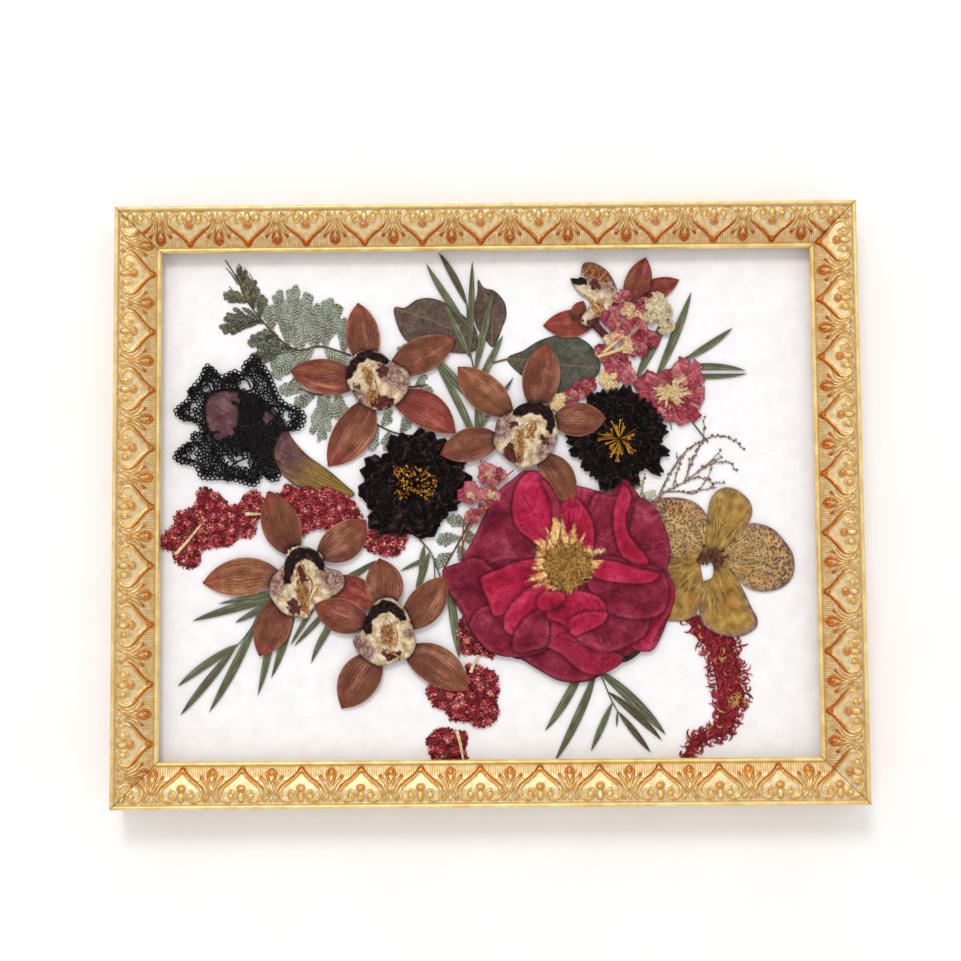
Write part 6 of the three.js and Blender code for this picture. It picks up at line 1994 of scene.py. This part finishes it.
def add_dark_leaves():
    finish = dark_leaf_finish()
    for number, (layer, outline, midrib, stalk) in enumerate(DARK_LEAVES, 1):
        piece = Piece(f"dark_leaf_{number}_pressed")
        back = layer_back(layer)
        rib = smooth_line(midrib, 5)
        length = sum(math.dist(p, q) for p, q in zip(rib, rib[1:]))

        def values(x, z, edge, rib=rib, length=length, number=number):
            away, place = to_line(x, z, rib)
            (ax, az), (bx, bz) = rib[0], rib[-1]
            hand = np.sign((bx - ax) * (z - az) - (bz - az) * (x - ax))
            return {"along": place * length - away * 0.75, "across": away, "tone": edge, "mark": hand,
                    "kind": number - 1}

        add_sheet(piece, smooth_line(outline, 5, closed=True), back, 0.8, values, relief=0.05, waves=0.1,
                  wave_size=7,
                  seed=number)
        if stalk:
            add_stem(piece, stalk, back - 0.32, 1.2, 0.6, 0.22, sides=6, flat=0.6, across=0, tone=5,
                     along=0)
        piece.make(finish, "dark_foliage", f"dark_leaf_{number}")


def dark_leaf_finish():
    f = Finish("dark_leaf", Specular_IOR_Level=0.2)
    along, across, edge, kind = f.value("along"), f.value("across"), f.value("tone"), f.value("kind")
    cloud = f.scaled(f.noise(6, 5, 0.65), 0.6, f.times(f.noise(1.2, 3), 0.4))
    blade = f.ramp(cloud, (0.15, (46, 32, 28)), (0.5, (84, 64, 56)), (0.85, (122, 100, 88)))
    green = f.ramp(cloud, (0.15, (38, 38, 32)), (0.5, (70, 72, 62)), (0.85, (108, 108, 92)))
    leaf = f.mix(f.band(kind, 1.4, 1.6), blade, green)
    side_vein = f.calc("SINE", f.scaled(f.noise(8, 2), 2.0, f.times(along, 1.15)))
    veins = f.times(f.band(side_vein, 0.93, 1.0), 0.35)
    net = f.times(f.creases(1.3, 0.12), 0.3)
    leaf = f.mix(f.calc("MAXIMUM", veins, net), leaf, (124, 108, 92))
    leaf = f.tint(leaf, (128, 104, 74), f.band(across, 0.7, 0.1), 0.7)
    leaf = f.tint(leaf, (34, 24, 20), f.band(edge, 0.8, 0.1), 0.6)
    f.dry_colour_painted_shade(leaf)
    f.roughness(f.scaled(f.noise(2, 2), 0.2, 0.5))
    f.bump(f.plus(f.times(side_vein, 0.3), f.noise(0.9, 4)), 0.18)
    return f.material


# ---- narrow leaves: stalks, and leaves as base, tip, width and bow ----
WILLOW_SLIM = 0.74                   # width of a leaf, as a share of the one listed below
WILLOW_SPRAYS = {
    "top": (2, [[(-10, 106), (-9, 84), (-6, 66), (-5, 40), (-3, 21)]],
            [((-10, 94), (-31.5, 128), 5, 1), ((-10, 105), (-25, 134), 5, -1),
             ((-9.5, 80), (-7, 129), 4.5, 0),
             ((-7.5, 68), (4, 113.5), 5.5, 0), ((-5, 60), (9, 89), 5, 0), ((-9, 76), (-22.5, 107), 5, 0),
             ((-5, 52), (-27, 78), 6, 0), ((-6, 24), (-28, 76), 5.5, -2), ((-5, 38), (14.5, 66.5), 4, 0),
             ((-4.5, 24), (-5, 56), 6, 0)]),
    "right": (1, [[(117, 31), (108, 43), (98, 58), (90, 62), (84, 58)], [(98, 58), (97, 69), (107, 77)],
                  [(90, 62), (88, 69), (78, 64.5)]],
              [((88, 64), (109.5, 111.5), 6, -1), ((80, 64), (98.5, 102), 7, 0),
               ((104, 75), (131, 92), 5, -1),
               ((97, 69), (137.5, 69), 5, 2.4), ((97, 68), (138.5, 67.5), 4, -1.5)]),
    "lower_left": (1, [[(-70, -55), (-98, -44), (-118, -54), (-124, -64), (-131, -73), (-139, -80)]],
                   [((-97, -43), (-132, -28), 4, -2), ((-98, -43), (-142, -52), 4, 0),
                    ((-108, -47), (-155.5, -61), 6, -1),
                    ((-112, -50), (-133, -62), 4.5, 0), ((-131, -73), (-163, -95), 5.5, -1),
                    ((-132, -74), (-161.5, -110), 5.5, 0), ((-121, -60), (-146.5, -108.5), 6, 1),
                    ((-112, -50), (-121, -100), 5.5, 1), ((-100, -45), (-114, -91), 6, 1),
                    ((-88, -48), (-104, -74), 3.5, 0),
                    ((-80, -51), (-102, -74.5), 4, 0), ((-74, -53), (-93, -83.5), 5, -2)]),
    "mid_left": (0, [[(-78, -43), (-60, -31)]],
                 [((-69, -23), (-79, -42), 4.5, 0), ((-69, -23), (-59, -41), 4.5, 0),
                  ((-79, -43), (-59, -30), 4.5, 0)]),
    "mid": (1, [[(-36, -19), (-29, -28), (-28, -42)], [(-29, -28), (-24, -42)]],
            [((-30, -25), (-38, -47), 5, 0), ((-30, -28), (-46, -35.5), 3, 0),
             ((-33, -22), (-36, -38), 4, 0)]),
    "low_mid": (1, [[(-22, -34), (-20.5, -43)]], [((-21, -40), (-15.5, -81.5), 6, 0)]),
    "lower_right": (1, [[(50, -80), (58, -90), (64, -104), (68, -111)]],
                    [((58, -86), (92, -122), 7, 1.5), ((63, -99), (90, -125), 5, 1),
                     ((67, -110), (84, -131), 4.5, 0),
                     ((64.5, -105), (53, -130), 4.5, 0), ((56, -88), (34, -135), 6, 1.5),
                     ((51, -82), (29, -119.5), 6, 1.5),
                     ((67, -109), (66.5, -118), 1.6, 0)]),
}


def add_willows():
    finish = willow_finish()
    for number, (name, (layer, stalks, leaves)) in enumerate(WILLOW_SPRAYS.items()):
        piece = Piece(f"willow_{name}_pressed")
        rng = np.random.default_rng(70 + number)
        back = layer_back(layer)
        for k, (base, tip, width, bow) in enumerate(leaves):
            root = min((nearest_on(s, base) for s in stalks), key=lambda p: math.dist(p, base))
            brown = 0.85 if (name, k) in (("top", 1), ("lower_right", 1),
                                          ("lower_right", 2)) else rng.uniform(0, 0.35)
            add_petal(piece, root, tip, width * WILLOW_SLIM, bow, back - 0.04 * (k % 4), n=40, m=7,
                      relief=0.06, waves=0.08,
                      groove=0.12, seed=number * 9 + k, tone=brown, mark=rng.uniform(0, 9))
        for stalk in stalks:
            add_stem(piece, stalk, back - 0.25, 1.6, 0.45, 0.3, sides=6, tone=0.4, across=0.5, along=0.5)
        piece.make(finish, "narrow_foliage", f"willow_{name}", angle=70)


def willow_finish():
    f = Finish("willow_leaf", Specular_IOR_Level=0.2)
    along, across, tone, which = (f.value(v) for v in ("along", "across", "tone", "mark"))
    fibre = f.noise(1.0, 4, 0.65, 0.1, f.join(f.times(across, 0.004), f.times(along, 0.006), which))
    green = f.ramp(fibre, (0.15, (68, 74, 50)), (0.5, (110, 118, 86)), (0.85, (150, 158, 124)))
    brown = f.ramp(fibre, (0.15, (44, 30, 26)), (0.5, (84, 64, 52)), (0.85, (130, 106, 86)))
    leaf = f.mix(tone, green, brown)
    half = f.band(across, -0.1, 0.1)
    leaf = f.tint(leaf, (62, 64, 46), half, 0.35)
    patchy = f.times(f.band(f.noise(9, 3), 0.5, 0.9), 0.5)
    leaf = f.mix(patchy, leaf, (86, 72, 58))
    leaf = f.tint(leaf, (54, 50, 36), f.band(f.calc("ABSOLUTE", across), 0.16, 0.03), 0.6)
    rim = f.band(f.calc("ABSOLUTE", across), 0.72, 1.0)
    leaf = f.tint(leaf, (58, 52, 36), rim, 0.6)
    tip = f.band(along, 0.84, 1.0)
    f.dry_colour_painted_shade(f.tint(leaf, (76, 56, 40), tip, 0.55))
    f.roughness(f.scaled(fibre, 0.25, 0.5))
    f.bump(fibre, 0.18)
    return f.material


# ---- small floret clusters ----
# Florets: middle, radius, petals, and how yellow (0 pink, 1 cream).
PINK_CLUSTERS = {
    "upper": (3, [((73, 107), 5, 5, 0.1), ((84, 104), 4, 5, 0.1), ((67, 99), 6, 5, 0.15),
                  ((76, 101), 4.5, 5, 0.6),
                  ((83, 98), 4, 5, 0.55), ((70, 94), 5, 5, 0.25), ((79, 91), 7, 6, 0.1),
                  ((85, 86), 6, 5, 0.0),
                  ((69, 89), 4, 4, 0.5), ((76, 83), 4.5, 4, 0.6), ((80, 81), 4.5, 5, 0.05),
                  ((65, 86), 3, 4, 0.7)]),
    "lower": (2, [((61, 79), 4, 5, 0.05), ((67, 75), 5.5, 7, 0.05), ((72, 73), 5.5, 7, 0.0),
                  ((75, 67), 4.5, 6, 0.0),
                  ((69, 68), 5, 6, 0.1), ((64, 66), 5, 6, 0.85), ((66, 63.5), 4, 5, 0.7)]),
    "right": (2, []),
    "centre": (4, [((-9, 4), 6, 4, 0.35), ((1, 15), 6, 5, 0.3), ((7, 15), 4, 4, 0.05),
                   ((2, 4), 4.5, 5, 0.4),
                   ((-8, -7), 4, 5, 0.0), ((-3, -3), 3, 4, 0.2)]),
    "small": (2, [((38, 53), 4.5, 5, 0.9), ((44, 55), 4.5, 6, 0.1), ((50, 59), 4.5, 6, 0.05),
                  ((55, 62), 3.5, 5, 0.05)]),
}
PINK_STALKS = {"upper": [[(62, 79), (68, 84), (73, 88)], [(59, 77), (66, 79), (74, 82)]],
               "centre": [[(-13.5, -27), (-13, -16), (-12, -8), (-8, -6)],
                          [(-14, -27), (-11, -16), (-5, -8), (3, 0)],
                          [(4, 8), (8, 12), (14, 17)], [(-3, -6), (0, 2), (4, 8)]],
               "small": [[(34, 49), (38, 55)]]}
CREAM_FLORETS = [((91, 105), 5.5, 5, 1.0), ((94, 100), 5, 6, 1.0), ((95, 92), 4.5, 4, 1.0),
                 ((88, 98), 4, 5, 1.0)]


def add_floret(piece, middle, radius, petals, cream, back, rng):
    """One small flower of crumpled petals."""
    turn = rng.uniform(0, 6.28)
    for k in range(petals):
        angle = turn + 2 * math.pi * k / petals + rng.uniform(-0.3, 0.3)
        reach = radius * rng.uniform(0.8, 1.25)
        tip = (middle[0] + reach * math.cos(angle), middle[1] + reach * math.sin(angle))
        add_petal(piece, middle, tip, reach * rng.uniform(0.95, 1.35), rng.normal(0, 0.9),
                  back - rng.uniform(0, 0.3),
                  n=15, m=9, relief=0.16, waves=0.34, ribs=0.06, rib_count=2.5, blunt=0.35, ruffle=0.22,
                  seed=int(rng.integers(999)), tone=cream, mark=rng.uniform(0, 1), kind=0.1)


FAN_CENTRE = (98, 58)                # of the right-hand pink cluster
FAN_REACH = [(0, 18), (20, 19), (50, 22), (75, 18), (95, 12), (110, 9), (130, 16), (150, 20), (180, 21),
             (210, 16), (240, 15), (270, 17), (300, 20), (330, 19), (360, 18)]


def add_fan(piece, back, rng):
    """Pleated petals spread round a pale throat."""
    rings = [(15, 1.0, 0.42, 8.0, 0.0), (13, 0.84, 0.34, 7.0, 0.1), (11, 0.62, 0.24, 5.5, 0.25)]
    for ring, (count, reach, start, width, cream) in enumerate(rings):
        for k in range(count):
            angle = 360 * (k + 0.5 * (ring % 2) + rng.uniform(-0.25, 0.25)) / count
            far = np.interp(angle % 360, *zip(*FAN_REACH)) * reach * rng.uniform(0.92, 1.04)
            way = toward(math.radians(angle))
            base, tip = np.array(FAN_CENTRE) + way * far * start, np.array(FAN_CENTRE) + way * far
            add_petal(piece, base, tip, width * rng.uniform(0.85, 1.2), rng.normal(0, 0.8),
                      back - 0.1 * ring - rng.uniform(0, 0.08), n=17, m=11, relief=0.14, waves=0.36,
                      ribs=0.08,
                      rib_count=3.5, blunt=0.4, ruffle=0.25, seed=int(rng.integers(999)), tone=cream,
                      mark=rng.uniform(0, 1), kind=0.1)
    for k in range(26):
        angle = 2 * math.pi * (k + rng.uniform(-0.3, 0.3)) / 26
        far = np.interp(math.degrees(angle) % 360, *zip(*FAN_REACH)) * rng.uniform(0.34, 0.62)
        tip = np.array(FAN_CENTRE) + far * toward(angle)
        add_petal(piece, FAN_CENTRE, tip, rng.uniform(1.6, 2.8), rng.normal(0, 0.7),
                  back - 0.36 - rng.uniform(0, 0.1),
                  n=12, m=5, relief=0.12, waves=0.16, blunt=0.2, seed=int(rng.integers(999)), tone=1.0,
                  mark=rng.uniform(0, 1), kind=0.1)


def add_florets():
    pink = floret_finish("pink_floret", False)
    for number, (name, (layer, florets)) in enumerate(PINK_CLUSTERS.items()):
        piece = Piece(f"pink_cluster_{name}_florets")
        rng = np.random.default_rng(200 + number)
        back = layer_back(layer)
        if name == "right":
            add_fan(piece, back, rng)
        for floret in florets:
            add_floret(piece, *floret, back, rng)
        thick, tone = (0.4, 0.1) if name == "centre" else (0.75, 0.95)
        for stalk in PINK_STALKS.get(name, []):
            add_stem(piece, stalk, back - 0.35, 1.0, thick, thick, sides=6, flat=0.6, kind=1, tone=tone)
        piece.make(pink, "pink_floret", f"pink_cluster_{name}", angle=70)
    cream = floret_finish("cream_floret", True)
    piece = Piece("cream_cluster_florets")
    rng = np.random.default_rng(300)
    for floret in CREAM_FLORETS:
        add_floret(piece, *floret, layer_back(4) + 0.2, rng)
    piece.make(cream, "cream_floret", "cream_cluster", angle=70)


def floret_finish(name, dry):
    f = Finish(name, Specular_IOR_Level=DRY_GLOSS)
    along, across, tone, which, kind = (f.value(v) for v in ("along", "across", "tone", "mark", "kind"))
    crumple = f.noise(1.8, 4, 0.65, 0.4)
    pleat = f.noise(1.0, 3, 0.6, 0.0, f.join(f.times(across, 0.0024), f.times(along, 0.001), which))
    value = f.scaled(which, 0.35, f.scaled(crumple, 0.25, f.times(pleat, 0.4)))
    pink = f.ramp(value, (0.15, (98, 22, 36)), (0.38, (158, 58, 74)), (0.62, (200, 112, 116)),
                  (0.85, (236, 182, 170)))
    paper = f.scaled(crumple, 0.4, f.times(pleat, 0.6))
    cream = f.ramp(paper, (0.15, (158, 104, 70)), (0.4, (218, 190, 128)), (0.85, (246, 236, 196)))
    if dry:
        cream = f.ramp(paper, (0.15, (112, 94, 66)), (0.4, (196, 178, 138)), (0.85, (242, 234, 212)))
    yellow = f.plus(tone, f.times(f.band(along, 0.4, 0.0), 0.6))
    petal = f.mix(f.band(yellow, 0.35, 0.8), pink, cream)
    deep = f.mix(f.band(tone, 0.4, 0.8), (82, 12, 28), (136, 92, 48))
    petal = f.tint(petal, deep, f.creases(1.6, 0.09), 0.6)
    # painted shade: pink petals darker towards their base, where they lie under others
    petal = f.tint(petal, deep, f.band(along, 0.75, 0.3), f.times(f.band(tone, 0.5, 0.2), 0.45))
    petal = f.tint(petal, deep, f.band(f.calc("ABSOLUTE", across), 0.82, 1.0), 0.75)
    petal = f.tint(petal, deep, f.band(along, 0.92, 1.0), 0.5)
    stalk = f.mix(f.band(tone, 0.4, 0.6), (150, 74, 34), (222, 200, 136))
    f.dry_colour_painted_shade(f.mix(f.band(kind, 0.4, 0.6), petal, stalk))
    f.roughness(f.scaled(crumple, 0.25, 0.5))
    f.bump(f.plus(crumple, pleat), 0.4)
    return f.material


# ---- sea lavender twig ----
TWIG_BRANCHES = [
    [(86, -1), (94, 5), (104, 10), (112, 16), (118, 21), (124, 27)],
    [(91, 4), (98, 17), (106, 27), (114, 32), (122, 34.5), (130, 32.5), (136, 27)],
    [(104, 10), (109, 22), (114.5, 33), (115, 44)],
    [(112, 16), (120, 20), (128, 20), (132, 15)],
    [(104, 10), (112, 12.5), (120, 9.5), (126, 9.5)],
    [(94, 5), (102, 5), (109, 4), (115, 10), (119, 18)],
    [(86, -1), (82, 4), (83, 14)],
]
TWIG_TWIGLETS = [[(98, 8), (101, 17), (103, 24)], [(106, 14), (107, 21), (109, 24)],
                 [(107, 5), (114, 6), (121, 7)],
                 [(99, 18), (101, 22), (100, 26)], [(118, 21), (122, 22), (124, 24)],
                 [(98, 38), (97, 44), (99, 48)]]


def add_twig():
    piece = Piece("sea_lavender_pressed")
    rng = np.random.default_rng(90)
    back = layer_back(0)
    for number, branch in enumerate(TWIG_BRANCHES + TWIG_TWIGLETS):
        line = even_line(smooth_line(branch, 4), 1.1)
        count = len(line)
        line = line + rng.normal(0, 0.12, line.shape) * np.linspace(0.2, 1, count)[:, None]
        thick = np.linspace(0.55 if number < 2 else 0.4, 0.2, count)
        points = np.stack([line[:, 0], np.full(count, back - 0.35), line[:, 1]], 1)
        add_tube(piece, points, thick, sides=5, kind=0, tone=rng.uniform(0, 1))
        for k in range(3, count):
            if rng.uniform() < 0.62:
                angle = rng.uniform(0, 6.28)
                size = rng.uniform(0.35, 0.8)
                add_grain(piece, line[k, 0] + 0.7 * math.cos(angle), back - 0.35,
                          line[k, 1] + 0.7 * math.sin(angle), size,
                          0.5, rng, kind=1, tone=rng.uniform(0, 1))
    for x, z, size in ((84, 2.5, 2.6), (80, 9, 2.2), (87, 4, 2.0), (78, 7.5, 1.4)):
        add_petal(piece, (x - size, z), (x + size, z + 0.5), size * 1.6, 0, back - 0.1, n=12, m=9,
                  waves=0.3, blunt=0.5,
                  seed=int(x), kind=2, tone=0.5)
    piece.make(twig_finish(), "dry_twig", "sea_lavender_twig", angle=70)


def twig_finish():
    f = Finish("dry_twig", Roughness=0.8, Specular_IOR_Level=0.25)
    kind, tone = f.value("kind"), f.value("tone")
    bark = f.ramp(f.noise(1.5, 4), (0.3, (112, 96, 80)), (0.7, (162, 146, 126)))
    bud = f.ramp(tone, (0.0, (92, 62, 54)), (0.6, (140, 108, 92)), (1.0, (176, 154, 136)))
    papery = f.ramp(f.noise(1.6, 3), (0.3, (158, 154, 128)), (0.7, (206, 204, 180)))
    f.colour(f.mix(f.band(kind, 1.4, 1.6), f.mix(f.band(kind, 0.4, 0.6), bark, bud), papery))
    f.bump(f.noise(0.5, 4), 0.1)
    return f.material


def add_flowers():
    tepals = orchid_finish()
    for number, orchid in enumerate(ORCHIDS, 1):
        add_orchid(number, orchid, tepals)
    add_rose()
    add_dark_flowers()
    add_vanda()
    add_calla()
    add_lace()


def add_fillers():
    add_celosias()
    add_tassel()
    add_silver_leaves()
    add_dark_leaves()
    add_willows()
    add_florets()
    add_twig()


add_camera()
add_stage()
add_world()
add_lamp()
add_rails()
finish_solids()
add_flowers()
add_fillers()
